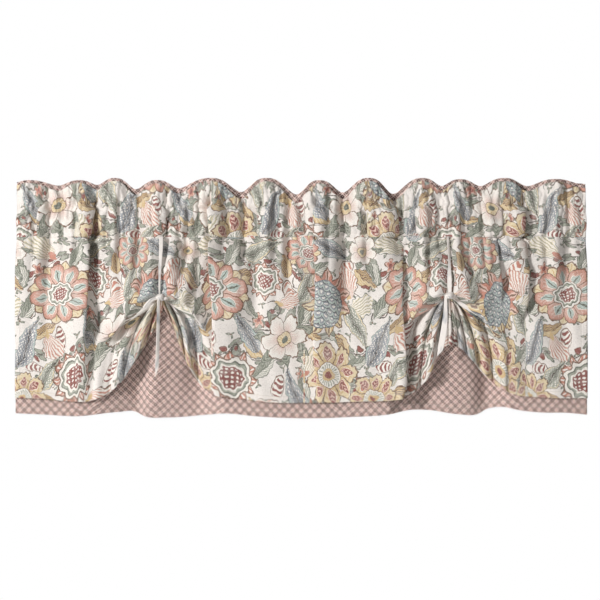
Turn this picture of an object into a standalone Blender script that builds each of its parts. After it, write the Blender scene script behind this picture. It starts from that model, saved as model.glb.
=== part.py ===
"""A gathered window valance, hung: rod-pocket heading, printed face caught up by two ties, and underlay.

The shape functions work in millimetres, and each mesh is scaled to metres as it is made.
x runs to the right, y away from the viewer, so the front is -y, and z up. The origin is the
middle of the heading's highest top edge, on the line of the rod.
"""

from collections import namedtuple

import bmesh
import bpy
import numpy as np

MM = 0.001

# ---------------------------------------------------------------- driving dimensions, mm
WIDTH = 1098.0  # across the hung valance, side hem to side hem
TOP_STITCH = -56.0  # the row of stitches over the rod pocket
SEAM = -114.0  # the row under it, where face and underlay are sewn in
CLOTH = 1.2  # thickness of the cloth
LAYER_GAP = 0.35  # between two layers sewn together
SEAM_GAP = 0.45  # between the edges of two pieces that meet at the seam
POCKET_BOW = 14.0  # how far each wall of the pocket bows away from the rod's line
STITCH_BAND = 0.06  # share of the pocket's height that stays flat beside each row of stitches
FACE_BOW = 20.0  # how far the face hangs in front of the seam
UNDERLAY_BACK = 9.0  # how far the underlay hangs behind the seam
UNDERLAY_GAP = 1.6  # between face and underlay where both leave the seam
TIE_WIDTH = 10.0
TIE_THICKNESS = 2.0
TIE_CLEARANCE = 2.0  # between a tie and the cloth it hangs over
KNOT_SIZE = (19.0, 14.0, 15.0)  # across, deep and high
KNOT_WAIST = 0.12  # share by which the wrapped middle of a knot is drawn in
LOOP_WIDTH = 8.0
LOOP_REACH = 27.0  # how far the loop stands out to the left of its knot
CREASE_BAND = 9.0  # height over which ballooned cloth turns under at its crease
PINCH_RADIUS = 15.0  # of the cloth that a tie draws together behind its knot

PINCHED_Y = -(FACE_BOW + 4.0)  # y of the back of the cloth behind a knot
KNOT_Y = PINCHED_Y - CLOTH - LAYER_GAP - 0.5 * KNOT_SIZE[1]  # y of a knot's middle

HEADING_COLUMNS = 74
FACE_COLUMNS = 132
# Rows of the heading's grid: 0 is its top edge, 1 the upper stitches and 2 the seam.
HEADING_LEVELS = (0.0, 0.5, 1.0, 1.06, 1.2, 1.36, 1.64, 1.8, 1.94, 2.0)
# Rows of the face's grid: 0 is the seam, 1 the crease line, 2 just under it and 3 the hem.
FACE_LEVELS = (0.0, 0.12, 0.3, 0.5, 0.7, 0.88, 1.0, 2.0, 2.2, 2.45, 2.7, 2.88, 3.0)
UNDERLAY_LEVELS = (0.0, 0.08, 0.25, 0.45, 0.65, 0.85, 1.0)

# ---------------------------------------------------------------- tables, mm
# The ruffle's wavy top edge. top: its height. reveal: how much of the back cloth shows
# above the front one. out: how far the gathers there stand back (+) or forward (-).
Ruffle = namedtuple("Ruffle", "x top reveal out")
RUFFLE = (
    Ruffle(-549, -8, 6, 1),
    Ruffle(-528, -4, 6, -7),
    Ruffle(-470, -14, 10, 6),
    Ruffle(-429, -4, 6, -8),
    Ruffle(-395, -13, 9, 5),
    Ruffle(-360, 0, 6, -8),
    Ruffle(-321, -21, 11, 7),
    Ruffle(-279, -4, 7, -8),
    Ruffle(-238, -19, 11, 6),
    Ruffle(-175, 0, 6, -9),
    Ruffle(-117, -26, 14, 8),
    Ruffle(-68, 0, 7, -9),
    Ruffle(-9, -31, 16, 8),
    Ruffle(34, -4, 7, -8),
    Ruffle(80, -27, 13, 8),
    Ruffle(130, 0, 6, -9),
    Ruffle(178, -29, 14, 8),
    Ruffle(234, 0, 7, -9),
    Ruffle(271, -15, 9, 5),
    Ruffle(306, -2, 6, -7),
    Ruffle(346, -15, 9, 6),
    Ruffle(391, 0, 6, -8),
    Ruffle(437, -15, 10, 6),
    Ruffle(491, -2, 6, -8),
    Ruffle(537, -10, 8, 3),
    Ruffle(549, -11, 8, 1),
)

# Hem of the face: level on the three flat stretches, arched under each tie.
Hem = namedtuple("Hem", "x z")
FACE_HEM = (
    Hem(-549, -423),
    Hem(-490, -426),
    Hem(-445, -430),
    Hem(-410, -430),
    Hem(-384, -422),
    Hem(-356, -403),
    Hem(-334, -376),
    Hem(-322, -357),
    Hem(-306, -332),
    Hem(-292, -306),
    Hem(-279, -286),
    Hem(-270, -262),
    Hem(-265, -250),
    Hem(-259, -258),
    Hem(-250, -279),
    Hem(-239, -307),
    Hem(-221, -353),
    Hem(-197, -395),
    Hem(-166, -416),
    Hem(-119, -425),
    Hem(-60, -432),
    Hem(30, -433),
    Hem(120, -430),
    Hem(185, -425),
    Hem(219, -410),
    Hem(243, -384),
    Hem(259, -350),
    Hem(275, -327),
    Hem(293, -321),
    Hem(308, -330),
    Hem(329, -353),
    Hem(354, -382),
    Hem(383, -405),
    Hem(410, -417),
    Hem(450, -422),
    Hem(549, -424),
)
UNDERLAY_HEM = (
    Hem(-549, -453),
    Hem(-490, -456),
    Hem(-435, -459),
    Hem(-354, -452),
    Hem(-322, -452),
    Hem(-306, -460),
    Hem(-260, -463),
    Hem(-180, -457),
    Hem(-157, -454),
    Hem(-88, -459),
    Hem(-10, -463),
    Hem(86, -461),
    Hem(178, -454),
    Hem(212, -448),
    Hem(248, -449),
    Hem(306, -457),
    Hem(340, -457),
    Hem(362, -446),
    Hem(388, -442),
    Hem(422, -448),
    Hem(468, -452),
    Hem(503, -452),
    Hem(549, -456),
)

# Folds that hang down the face. depth: how far the groove goes back. ridge: how far the
# cloth stands forward beside it, on the side given (-1 left, 1 right).
Fold = namedtuple("Fold", "x_top x_foot top foot width depth ridge side")
FACE_FOLDS = (
    Fold(-482, -488, -90, -300, 18, 5, 4, 1),
    Fold(-416, -413, -90, -270, 12, 9, 6, 1),
    Fold(-394, -404, -250, -440, 12, 9, 5, -1),
    Fold(-314, -316, -90, -200, 12, 7, 4, 1),
    Fold(-173, -167, -100, -400, 12, 14, 10, 1),
    Fold(-90, -88, -100, -300, 16, 6, 4, -1),
    Fold(-26, -24, -90, -210, 13, 7, 4, 1),
    Fold(24, 31, -90, -470, 11, 9, 6, 1),
    Fold(80, 86, -90, -250, 16, 6, 4, -1),
    Fold(182, 191, -100, -460, 13, 14, 9, -1),
    Fold(378, 384, -90, -230, 12, 10, 5, 1),
    Fold(428, 427, -90, -260, 12, 9, 5, 1),
    Fold(502, 498, -100, -400, 22, 4, 4, -1),
)
UNDERLAY_FOLDS = (
    Fold(-480, -486, -180, -500, 40, 4, 4, 1),
    Fold(-400, -398, -180, -500, 34, 4, 4, 1),
    Fold(-318, -316, -180, -500, 15, 7, 7, 1),
    Fold(-200, -196, -180, -500, 24, 6, 6, -1),
    Fold(-70, -64, -180, -500, 40, 4, 4, 1),
    Fold(70, 76, -180, -500, 40, 4, 4, -1),
    Fold(236, 240, -180, -500, 20, 6, 7, 1),
    Fold(356, 360, -180, -500, 18, 7, 6, -1),
    Fold(470, 476, -180, -500, 40, 4, 4, 1),
)

# Each tie: where it is knotted, how far the ballooned cloth reaches to each side, how far it
# stands forward, and the free end, which hangs to tail_foot and drifts tail_drift sideways.
Tie = namedtuple("Tie", "side x z reach_left reach_right balloon tail_foot tail_drift tail_width")
TIES = (
    Tie("left", -270, -229, 128, 100, 26, -382, -7, 9),
    Tie("right", 282, -226, 104, 112, 24, -343, -20, 12),
)
# The crease under the ballooned cloth: how far it falls below the knot, by distance from it.
Crease = namedtuple("Crease", "across fall")
CREASE = (
    Crease(0, -4),
    Crease(25, -2),
    Crease(42, 9),
    Crease(58, 27),
    Crease(76, 54),
    Crease(92, 74),
    Crease(110, 80),
)
# Flutes that fan out from a knot: their direction from straight down, half-width, height
# (forward +) and how far they reach.
Flute = namedtuple("Flute", "angle spread height reach")
FLUTES = {
    "left": (
        Flute(-64, 8, 9, 110),
        Flute(-50, 6, -11, 120),
        Flute(-31, 11, 17, 170),
        Flute(-13, 6, -12, 110),
        Flute(7, 6, -12, 100),
        Flute(23, 8, 16, 170),
        Flute(34, 4, -7, 120),
        Flute(42, 6, 12, 150),
        Flute(54, 6, -11, 120),
    ),
    "right": (
        Flute(-64, 7, 8, 110),
        Flute(-54, 5, -9, 120),
        Flute(-45, 6, 12, 140),
        Flute(-37, 4, -9, 140),
        Flute(-26, 8, 16, 170),
        Flute(-12, 6, -12, 110),
        Flute(0, 5, 5, 110),
        Flute(10, 5, -9, 110),
        Flute(22, 7, 13, 150),
        Flute(34, 6, 13, 150),
        Flute(45, 5, -13, 130),
        Flute(60, 8, 12, 120),
    ),
}


# ---------------------------------------------------------------- helpers
def column(table, name):
    return np.array([getattr(row, name) for row in table], float)


def ease(share):
    """0 to 1 with level ends."""
    share = np.clip(share, 0.0, 1.0)
    return share * share * (3.0 - 2.0 * share)


def waves_through(table, name, x):
    """The column's values at x, swinging from each row to the next like a wave."""
    xs = column(table, "x")
    values = column(table, name)
    row = np.clip(np.searchsorted(xs, x) - 1, 0, len(xs) - 2)
    share = ease((x - xs[row]) / (xs[row + 1] - xs[row]))
    return values[row] + (values[row + 1] - values[row]) * share


def curve_through(xs, values, x):
    """A smooth curve through the points, read at x."""
    slopes = np.gradient(values, xs)
    row = np.clip(np.searchsorted(xs, x) - 1, 0, len(xs) - 2)
    step = xs[row + 1] - xs[row]
    t = np.clip((x - xs[row]) / step, 0.0, 1.0)
    start = (1 + 2 * t) * (1 - t) ** 2 * values[row] + t * (1 - t) ** 2 * step * slopes[row]
    end = t * t * (3 - 2 * t) * values[row + 1] - t * t * (1 - t) * step * slopes[row + 1]
    return start + end


def hem_line(table, x):
    return curve_through(column(table, "x"), column(table, "z"), x)


# ---------------------------------------------------------------- how the cloth hangs
def gather_sway(x):
    """How far the gathers stand back or forward along the heading."""
    return waves_through(RUFFLE, "out", x)


def hanging_folds(table, x, z):
    """Depth from folds that hang downwards: a groove with a ridge on one side of it."""
    depth = np.zeros_like(x)
    for fold in table:
        share = np.clip((z - fold.top) / (fold.foot - fold.top), 0.0, 1.0)
        centre = fold.x_top + (fold.x_foot - fold.x_top) * share
        inside = ease(share / 0.2) * ease((1.0 - share) / 0.35)
        away = (x - centre) / fold.width
        groove = fold.depth * np.exp(-away * away)
        ridge = fold.ridge * np.exp(-((away - 2.0 * fold.side) ** 2) / 2.2)
        depth += inside * (groove - ridge)
    return depth


def balloon_share(tie, x):
    """1 beside the knot, 0 where the ballooned cloth ends, and drawn in behind the tie."""
    across = x - tie.x
    reach = np.where(across < 0, tie.reach_left, tie.reach_right)
    dome = np.clip(1.0 - (across / reach) ** 2, 0.0, 1.0) ** 1.5
    return dome * (1.0 - 0.5 * np.exp(-((across / 15.0) ** 2)))


def crease_line(x):
    """z of the line where ballooned cloth turns under, level at mid-height away from the ties."""
    line = np.full_like(x, TIES[0].z - CREASE[-1].fall)
    for tie in TIES:
        across = np.abs(x - tie.x)
        near = tie.z - curve_through(column(CREASE, "across"), column(CREASE, "fall"), across)
        line = np.where(across < CREASE[-1].across, near, line)
    return line


def fan(tie, x, z):
    """Depth of the flutes that fan out below a knot."""
    radius = np.hypot(x - tie.x, z - tie.z)
    angle = np.degrees(np.arctan2(x - tie.x, tie.z - z))
    depth = np.zeros_like(x)
    for flute in FLUTES[tie.side]:
        away = (angle - flute.angle) / flute.spread
        reach = ease(radius / 38.0) * (1.0 - 0.8 * ease((radius - 0.5 * flute.reach) / flute.reach))
        depth -= flute.height * np.exp(-away * away) * reach
    return depth


def face_depth(x, z):
    """y of the face's back side."""
    drop = SEAM - z
    depth = gather_sway(x) * 0.7 * (1.0 - 0.65 * ease(drop / 110.0))
    depth = depth - FACE_BOW * ease(drop / 70.0)
    depth = depth + hanging_folds(FACE_FOLDS, x, z) * ease(drop / 50.0)
    crease = crease_line(x)
    above = ease((z - crease + CREASE_BAND) / CREASE_BAND)
    for tie in TIES:
        share = balloon_share(tie, x)
        rise = 0.25 + 0.75 * ease(drop / (SEAM - crease))
        depth = depth - tie.balloon * share * rise * above * ease(drop / 40.0)
        below = ease((crease - z) / CREASE_BAND) * (share > 0)
        depth = depth + fan(tie, x, z) * below * ease(share / 0.3)
        radius = np.hypot(x - tie.x, z - tie.z)
        pinch = np.exp(-((radius / PINCH_RADIUS) ** 2))
        depth = depth * (1.0 - pinch) + PINCHED_Y * pinch
    return depth


def underlay_depth(x, z):
    """y of the underlay's front side."""
    drop = SEAM - z
    depth = gather_sway(x) * 0.7 * (1.0 - 0.65 * ease(drop / 110.0))
    depth = depth + UNDERLAY_GAP + UNDERLAY_BACK * ease(drop / 45.0)
    return depth + hanging_folds(UNDERLAY_FOLDS, x, z)


# ---------------------------------------------------------------- how each grid is laid out
def heading_place(down, x, top):
    """(level, z) of the heading's rows: level is 1 at the upper stitches and 2 at the seam."""
    level = np.interp(down, np.linspace(0, 1, len(HEADING_LEVELS)), HEADING_LEVELS)
    ruffle = top + (TOP_STITCH - top) * level
    pocket = TOP_STITCH + (SEAM - TOP_STITCH) * (level - 1.0)
    return level, np.where(level < 1.0, ruffle, pocket)


def pocket_bow(level):
    from_stitches = 0.5 - np.abs(np.clip(level, 1.0, 2.0) - 1.5)
    return POCKET_BOW * ease((from_stitches - STITCH_BAND) / 0.3)


def heading_sway(x, level):
    """The gathers' depth: even up the ruffle, softer where the pocket is bowed."""
    return gather_sway(x) * np.interp(level, (1.0, 1.06, 1.36, 1.64, 1.94), (0.9, 0.9, 0.5, 0.5, 0.7))


def lay_heading_front(across, down):
    x = WIDTH * (across - 0.5)
    top = waves_through(RUFFLE, "top", x) - waves_through(RUFFLE, "reveal", x)
    level, z = heading_place(down, x, top)
    return x, heading_sway(x, level) - pocket_bow(level), z


def lay_heading_back(across, down):
    x = WIDTH * (across - 0.5)
    level, z = heading_place(down, x, waves_through(RUFFLE, "top", x))
    return x, heading_sway(x, level) + pocket_bow(level) + LAYER_GAP, z


def face_columns(across):
    """x of the face's columns, closer together where a tie gathers the cloth."""
    samples = np.linspace(-WIDTH / 2, WIDTH / 2, 400)
    density = np.ones_like(samples)
    for tie in TIES:
        density += 3.0 * np.exp(-(((samples - tie.x) / 80.0) ** 4))
    total = np.cumsum(density)
    return np.interp(across, (total - total[0]) / (total[-1] - total[0]), samples)


def lay_face(across, down):
    x = face_columns(across)
    level = np.interp(down, np.linspace(0, 1, len(FACE_LEVELS)), FACE_LEVELS)
    top = SEAM - SEAM_GAP
    hem = hem_line(FACE_HEM, x)
    crease = np.maximum(crease_line(x), hem + CREASE_BAND + 8.0)
    under = crease - CREASE_BAND
    z = np.where(level <= 1.0, top + (crease - top) * level, crease + (under - crease) * (level - 1.0))
    z = np.where(level > 2.0, under + (hem - under) * (level - 2.0), z)
    return x, face_depth(x, z), z


def lay_underlay(across, down):
    x = WIDTH * (across - 0.5)
    level = np.interp(down, np.linspace(0, 1, len(UNDERLAY_LEVELS)), UNDERLAY_LEVELS)
    top = SEAM - SEAM_GAP
    z = top + (hem_line(UNDERLAY_HEM, x) - top) * level
    return x, underlay_depth(x, z), z


# ---------------------------------------------------------------- objects
def finish_material(name, color, roughness):
    material = bpy.data.materials.new(name)
    material.use_nodes = True
    shader = material.node_tree.nodes["Principled BSDF"]
    shader.inputs["Base Color"].default_value = (*color, 1.0)
    shader.inputs["Roughness"].default_value = roughness
    shader.inputs["Metallic"].default_value = 0.0
    return material


def grid_mesh(name, columns, rows, place):
    """A grid whose points place() lays out, from (across, down) in 0 to 1 to millimetres."""
    grid = bmesh.new()
    bmesh.ops.create_grid(grid, x_segments=columns, y_segments=rows, size=0.5)
    mesh = bpy.data.meshes.new(name)
    grid.to_mesh(mesh)
    grid.free()
    points = np.empty(len(mesh.vertices) * 3, np.float32)
    mesh.vertices.foreach_get("co", points)
    points = points.reshape(-1, 3).astype(float)
    placed = np.stack(place(points[:, 0] + 0.5, 0.5 - points[:, 1]), axis=1)
    mesh.vertices.foreach_set("co", (placed * MM).ravel())
    mesh.shade_smooth()
    return mesh


def cloth_piece(collection, name, mesh, thickness, towards_front, material):
    """The mesh as an object, thickened to one side. Its faces look to the front."""
    piece = bpy.data.objects.new(name, mesh)
    piece.data.materials.append(material)
    collection.objects.link(piece)
    shell = piece.modifiers.new("Cloth thickness", "SOLIDIFY")
    shell.thickness = thickness * MM
    shell.offset = 1.0 if towards_front else -1.0
    return piece


def tie_strip(collection, name, path, width, material):
    """A narrow strip whose middle follows path, a list of (x, y, z), thickened to the front."""
    path = np.array(path, float)
    steps = np.linspace(0, 1, len(path))

    def place(across, down):
        middle = [np.interp(down, steps, path[:, axis]) for axis in range(3)]
        return middle[0] + (across - 0.5) * width, middle[1], middle[2]

    mesh = grid_mesh(name, 1, len(path) - 1, place)
    return cloth_piece(collection, name, mesh, TIE_THICKNESS, True, material)


def clear_of_face(x, z, gap):
    """y of a strip's back side that passes the face's front with this gap."""
    beside = np.array([x - TIE_WIDTH / 2, x, x + TIE_WIDTH / 2])
    return float(face_depth(beside, np.full(3, float(z))).min()) - 1.25 * CLOTH - gap


def strap_path(tie):
    """Down the front from the seam, over the ballooned cloth, and into the knot."""
    top = SEAM - SEAM_GAP - 1.0
    levels = np.linspace(top, tie.z + 3.0, 12)
    gaps = np.interp(levels, (levels[-1], SEAM - 20.0, top), (TIE_CLEARANCE, TIE_CLEARANCE, LAYER_GAP))
    path = [(tie.x, clear_of_face(tie.x, z, gap), z) for z, gap in zip(levels, gaps)]
    path[-1] = (tie.x, KNOT_Y, levels[-1])
    return path


def tail_path(tie):
    """The free end: out of the knot, a little forward over the flutes, and down."""
    levels = np.linspace(tie.z - 2.0, tie.tail_foot, 9)
    share = (levels[0] - levels) / (levels[0] - levels[-1])
    across = tie.x + tie.tail_drift * ease(share / 0.8)
    return list(zip(across, KNOT_Y - 3.0 * np.sin(np.pi * share), levels))


def loop_path(tie):
    """A short loop's outer end, out of the knot to the lower left."""
    out = np.linspace(2.0, LOOP_REACH, 4)
    return list(zip(tie.x - out, KNOT_Y - 4.0 * np.sin(out / 12.0), tie.z - 3.0 - 0.75 * out))


def knot_lump(collection, name, tie, material):
    """The knot: a rounded lump with a waist where the strip wraps round it."""
    across, deep, high = KNOT_SIZE
    lump = bmesh.new()
    bmesh.ops.create_uvsphere(lump, u_segments=16, v_segments=10, radius=0.5)
    for point in lump.verts:
        waist = 1.0 - KNOT_WAIST * np.exp(-((point.co.x / 0.12) ** 2))
        point.co.x = (tie.x + point.co.x * across) * MM
        point.co.y = (KNOT_Y + point.co.y * deep * waist) * MM
        point.co.z = (tie.z - 1.0 + point.co.z * high * waist) * MM
    mesh = bpy.data.meshes.new(name)
    lump.to_mesh(mesh)
    lump.free()
    mesh.shade_smooth()
    knot = bpy.data.objects.new(name, mesh)
    knot.data.materials.append(material)
    collection.objects.link(knot)
    return knot


def fuse(piece, others):
    """Joins the other closed shapes into the piece."""
    for other in others:
        joint = piece.modifiers.new("Join " + other.name, "BOOLEAN")
        joint.operation = "UNION"
        joint.object = other
        other.hide_render = True
        other.display_type = "WIRE"


def make_tie(parts, guides, tie, material):
    """One tie: strap, knot and free end, and on the left a short loop too, as one strip of cloth."""
    knot = knot_lump(parts, "tie_" + tie.side, tie, material)
    strap = tie_strip(guides, "strap_" + tie.side, strap_path(tie), TIE_WIDTH, material)
    tail = tie_strip(guides, "tail_" + tie.side, tail_path(tie), tie.tail_width, material)
    others = [strap, tail]
    if tie.side == "left":
        others.append(tie_strip(guides, "loop_" + tie.side, loop_path(tie), LOOP_WIDTH, material))
    fuse(knot, others)
    return knot


def clear_scene():
    for old in list(bpy.data.objects):
        bpy.data.objects.remove(old)


def new_collection(name):
    collection = bpy.data.collections.new(name)
    bpy.context.scene.collection.children.link(collection)
    return collection


def main():
    clear_scene()
    parts = new_collection("window_valance")
    guides = new_collection("tie_strips")
    print_front = finish_material("printed_heading", (0.66, 0.56, 0.47), 0.85)
    print_face = finish_material("printed_face", (0.71, 0.62, 0.54), 0.85)
    print_tie = finish_material("printed_tie", (0.76, 0.72, 0.65), 0.85)
    lattice_back = finish_material("lattice_heading", (0.55, 0.36, 0.32), 0.85)
    lattice_under = finish_material("lattice_underlay", (0.57, 0.38, 0.34), 0.85)

    heading_rows = len(HEADING_LEVELS) - 1
    front = grid_mesh("heading_front", HEADING_COLUMNS, heading_rows, lay_heading_front)
    back = grid_mesh("heading_back", HEADING_COLUMNS, heading_rows, lay_heading_back)
    face = grid_mesh("face_panel", FACE_COLUMNS, len(FACE_LEVELS) - 1, lay_face)
    under = grid_mesh("underlay", HEADING_COLUMNS, len(UNDERLAY_LEVELS) - 1, lay_underlay)
    cloth_piece(parts, "heading_front", front, CLOTH, True, print_front)
    cloth_piece(parts, "heading_back", back, CLOTH, False, lattice_back)
    cloth_piece(parts, "face_panel", face, CLOTH, True, print_face)
    cloth_piece(parts, "underlay", under, CLOTH, False, lattice_under)
    for tie in TIES:
        make_tie(parts, guides, tie, print_tie)


main()
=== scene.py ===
"""Looks of a gathered window valance: printed heading and face, lattice-print back and underlay, two ties.

The shape functions work in millimetres in the frame's axes: x to the right, y away from the
viewer, so the front is -y, and z up. Each mesh is scaled to metres as it is made.
"""

import math
from collections import namedtuple

import bmesh
import bpy
import numpy as np
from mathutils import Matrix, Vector


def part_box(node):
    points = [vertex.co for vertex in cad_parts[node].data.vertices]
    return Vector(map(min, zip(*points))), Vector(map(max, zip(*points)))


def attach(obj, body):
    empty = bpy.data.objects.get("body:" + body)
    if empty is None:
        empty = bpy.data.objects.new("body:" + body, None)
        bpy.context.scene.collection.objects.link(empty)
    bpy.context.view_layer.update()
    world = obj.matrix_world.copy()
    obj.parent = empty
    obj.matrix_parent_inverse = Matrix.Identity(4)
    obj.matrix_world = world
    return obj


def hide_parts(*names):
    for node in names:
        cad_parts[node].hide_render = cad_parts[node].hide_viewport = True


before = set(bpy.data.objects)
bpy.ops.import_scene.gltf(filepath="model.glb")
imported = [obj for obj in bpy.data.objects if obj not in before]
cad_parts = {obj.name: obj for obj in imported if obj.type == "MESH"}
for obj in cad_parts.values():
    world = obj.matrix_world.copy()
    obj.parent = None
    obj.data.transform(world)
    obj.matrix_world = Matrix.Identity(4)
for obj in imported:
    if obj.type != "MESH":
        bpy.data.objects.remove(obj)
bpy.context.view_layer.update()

bl_info = {
    "name": "Window Valance",
    "version": (1, 0, 0),
    "blender": (4, 5, 0),
    "location": "View3D > Sidebar > Valance",
    "description": "Dresses a gathered window valance with its prints, folds, ties and stitches",
    "category": "Object",
}

MM = 0.001
BODY = "root"


def node_side(node, corner, axis):
    """A side of a frame node's box in millimetres. corner: 0 lowest, 1 highest."""
    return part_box(node)[corner][axis] / MM


# ---------------------------------------------------------------- sizes, mm
LEFT = node_side("face_panel", 0, 0)
RIGHT = node_side("face_panel", 1, 0)
SEAM = node_side("face_panel", 1, 2)  # top of the face, under the rod pocket
TOP_STITCH = SEAM + 58.0  # the row of stitches over the rod pocket
CLOTH = 0.9  # thickness of the cloth
LAYER_GAP = 0.35
POCKET_BOW = 6.5  # how far each wall of the pocket bows away from the rod's line
STITCH_BAND = 0.05  # share of the pocket's height that stays flat beside each of its edges
FACE_BOW = 20.0
UNDERLAY_BACK = 9.0
UNDERLAY_GAP = 1.6
ARCH_BACK = 5.0  # how much further back the underlay hangs in the arches
SEAM_TUCK = 2.5  # how far the face and underlay run up behind the heading's lower edge
HEM_TURN = 13.0  # height of the turned hems
SIDE_TURN = 10.0  # width of the turned side edges
HEM_EXTRA = 0.5  # how much thicker cloth is where its hem is turned
STITCH_LENGTH = 2.3
STITCH_PITCH = 3.1
STITCH_INSET = 1.2  # from a hem's turned edge down to its row of stitches
STITCH_LIFT = 0.12  # how far the stitches stand out of the printed cloth
UNDERLAY_STITCH_LIFT = 0.1  # and out of the underlay
CREASE_TUCK = 7.0  # how far the fold behind a ballooned stretch runs up behind its crease
CREASE_RUN = 12.0  # height of the rows round the crease line away from the ties
BUNCH = 7.0  # half the width of the cloth that a tie draws together
KNOT_SIZE = (15.0, 15.0, 13.0)
KNOT_Y = -FACE_BOW - 20.0  # the knots' middle, in front of the cloth that they draw together
LUMP_SIDES = 24  # points round each ring of a knot's lumps
LOOP_WIDTH = 8.0
FACE_PRINT = (0.0, 0.0)  # where each piece was cut from the print, across and up
HEADING_PRINT = (130.0, 210.0)
TIE_PRINT = (196.0, 300.0)
FACE_READING = 20  # the row of each sheet's points that gives its flat width
HEADING_READING = 45
UNDERLAY_READING = 50

# ---------------------------------------------------------------- tables, mm
Ruffle = namedtuple("Ruffle", "x top reveal out")
RUFFLE = (
    Ruffle(-549, -8, 6, 1),
    Ruffle(-528, -4, 6, -7),
    Ruffle(-470, -14, 10, 6),
    Ruffle(-429, -4, 6, -8),
    Ruffle(-395, -13, 9, 5),
    Ruffle(-360, 0, 6, -8),
    Ruffle(-321, -21, 11, 7),
    Ruffle(-279, -4, 7, -8),
    Ruffle(-238, -19, 11, 6),
    Ruffle(-175, 0, 6, -9),
    Ruffle(-117, -26, 14, 8),
    Ruffle(-68, 0, 7, -9),
    Ruffle(-9, -31, 16, 8),
    Ruffle(34, -4, 7, -8),
    Ruffle(80, -27, 13, 8),
    Ruffle(130, 0, 6, -9),
    Ruffle(178, -29, 14, 8),
    Ruffle(234, 0, 7, -9),
    Ruffle(271, -15, 9, 5),
    Ruffle(306, -2, 6, -7),
    Ruffle(346, -15, 9, 6),
    Ruffle(391, 0, 6, -8),
    Ruffle(437, -15, 10, 6),
    Ruffle(491, -2, 6, -8),
    Ruffle(537, -10, 8, 3),
    Ruffle(549, -11, 8, 1),
)

Hem = namedtuple("Hem", "x z")
FACE_HEM = (
    Hem(-549, -423),
    Hem(-490, -426),
    Hem(-445, -430),
    Hem(-410, -430),
    Hem(-384, -422),
    Hem(-356, -403),
    Hem(-334, -376),
    Hem(-322, -357),
    Hem(-306, -332),
    Hem(-292, -306),
    Hem(-279, -286),
    Hem(-270, -262),
    Hem(-265, -250),
    Hem(-259, -258),
    Hem(-250, -279),
    Hem(-239, -307),
    Hem(-221, -353),
    Hem(-197, -395),
    Hem(-166, -416),
    Hem(-119, -425),
    Hem(-60, -432),
    Hem(30, -433),
    Hem(120, -430),
    Hem(185, -425),
    Hem(219, -410),
    Hem(243, -384),
    Hem(259, -350),
    Hem(275, -327),
    Hem(293, -321),
    Hem(308, -330),
    Hem(329, -353),
    Hem(354, -382),
    Hem(383, -405),
    Hem(410, -417),
    Hem(450, -422),
    Hem(549, -424),
)
UNDERLAY_HEM = (
    Hem(-549, -453),
    Hem(-490, -456),
    Hem(-435, -459),
    Hem(-354, -452),
    Hem(-322, -452),
    Hem(-306, -460),
    Hem(-260, -463),
    Hem(-180, -457),
    Hem(-157, -454),
    Hem(-88, -459),
    Hem(-10, -463),
    Hem(86, -461),
    Hem(178, -454),
    Hem(212, -448),
    Hem(248, -449),
    Hem(306, -457),
    Hem(340, -457),
    Hem(362, -446),
    Hem(388, -442),
    Hem(422, -448),
    Hem(468, -452),
    Hem(503, -452),
    Hem(549, -456),
)

# Gathers of uneven width: the seed of their draws, and the narrowest and widest of them.
Gathering = namedtuple("Gathering", "seed narrow wide")
SEAM_GATHERS = Gathering(11, 7.0, 16.0)
BIG_GATHERS = Gathering(12, 22.0, 46.0)
TOP_GATHERS = Gathering(13, 7.0, 17.0)
UNDERLAY_GATHERS = Gathering(14, 16.0, 34.0)
STITCH_GATHERS = Gathering(15, 5.0, 12.0)
GATHER_LEAD = 40.0  # how far to the left of the valance its gathers start
GATHER_RUN = 1400.0  # more than the width that they have to cover

# How many times as deep as in their tables the folds, laps and flutes are made.
GROOVE_GAIN = 1.4
RIDGE_GAIN = 1.3
LAP_GAIN = 1.4
FLUTE_GAIN = 1.8

# Soft folds that hang down: a groove with a ridge beside it, on the side given (-1 left, 1 right).
Fold = namedtuple("Fold", "x_top x_foot top foot width depth ridge side")
FACE_FOLDS = (
    Fold(-482, -488, -90, -300, 18, 5, 4, 1),
    Fold(-394, -404, -230, -440, 12, 9, 5, -1),
    Fold(-347, -350, -90, -230, 11, 5, 4, 1),
    Fold(-314, -316, -90, -200, 12, 7, 4, 1),
    Fold(-222, -226, -90, -200, 11, 6, 4, -1),
    Fold(-90, -88, -90, -330, 14, 7, 5, -1),
    Fold(-52, -50, -90, -190, 9, 5, 4, 1),
    Fold(-26, -24, -90, -240, 12, 8, 5, 1),
    Fold(80, 86, -90, -290, 14, 7, 5, -1),
    Fold(132, 128, -90, -190, 10, 5, 4, 1),
    Fold(246, 244, -90, -200, 10, 6, 4, -1),
    Fold(318, 322, -90, -200, 10, 6, 4, 1),
    Fold(470, 474, -90, -220, 10, 5, 4, 1),
    Fold(502, 498, -100, -400, 22, 5, 5, -1),
)
UNDERLAY_FOLDS = (
    Fold(-480, -486, -180, -500, 40, 4, 4, 1),
    Fold(-400, -398, -180, -500, 34, 4, 4, 1),
    Fold(-318, -316, -180, -500, 15, 7, 7, 1),
    Fold(-200, -196, -180, -500, 24, 6, 6, -1),
    Fold(-70, -64, -180, -500, 40, 4, 4, 1),
    Fold(70, 76, -180, -500, 40, 4, 4, -1),
    Fold(236, 240, -180, -500, 20, 6, 7, 1),
    Fold(356, 360, -180, -500, 18, 7, 6, -1),
    Fold(470, 476, -180, -500, 40, 4, 4, 1),
)
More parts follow.
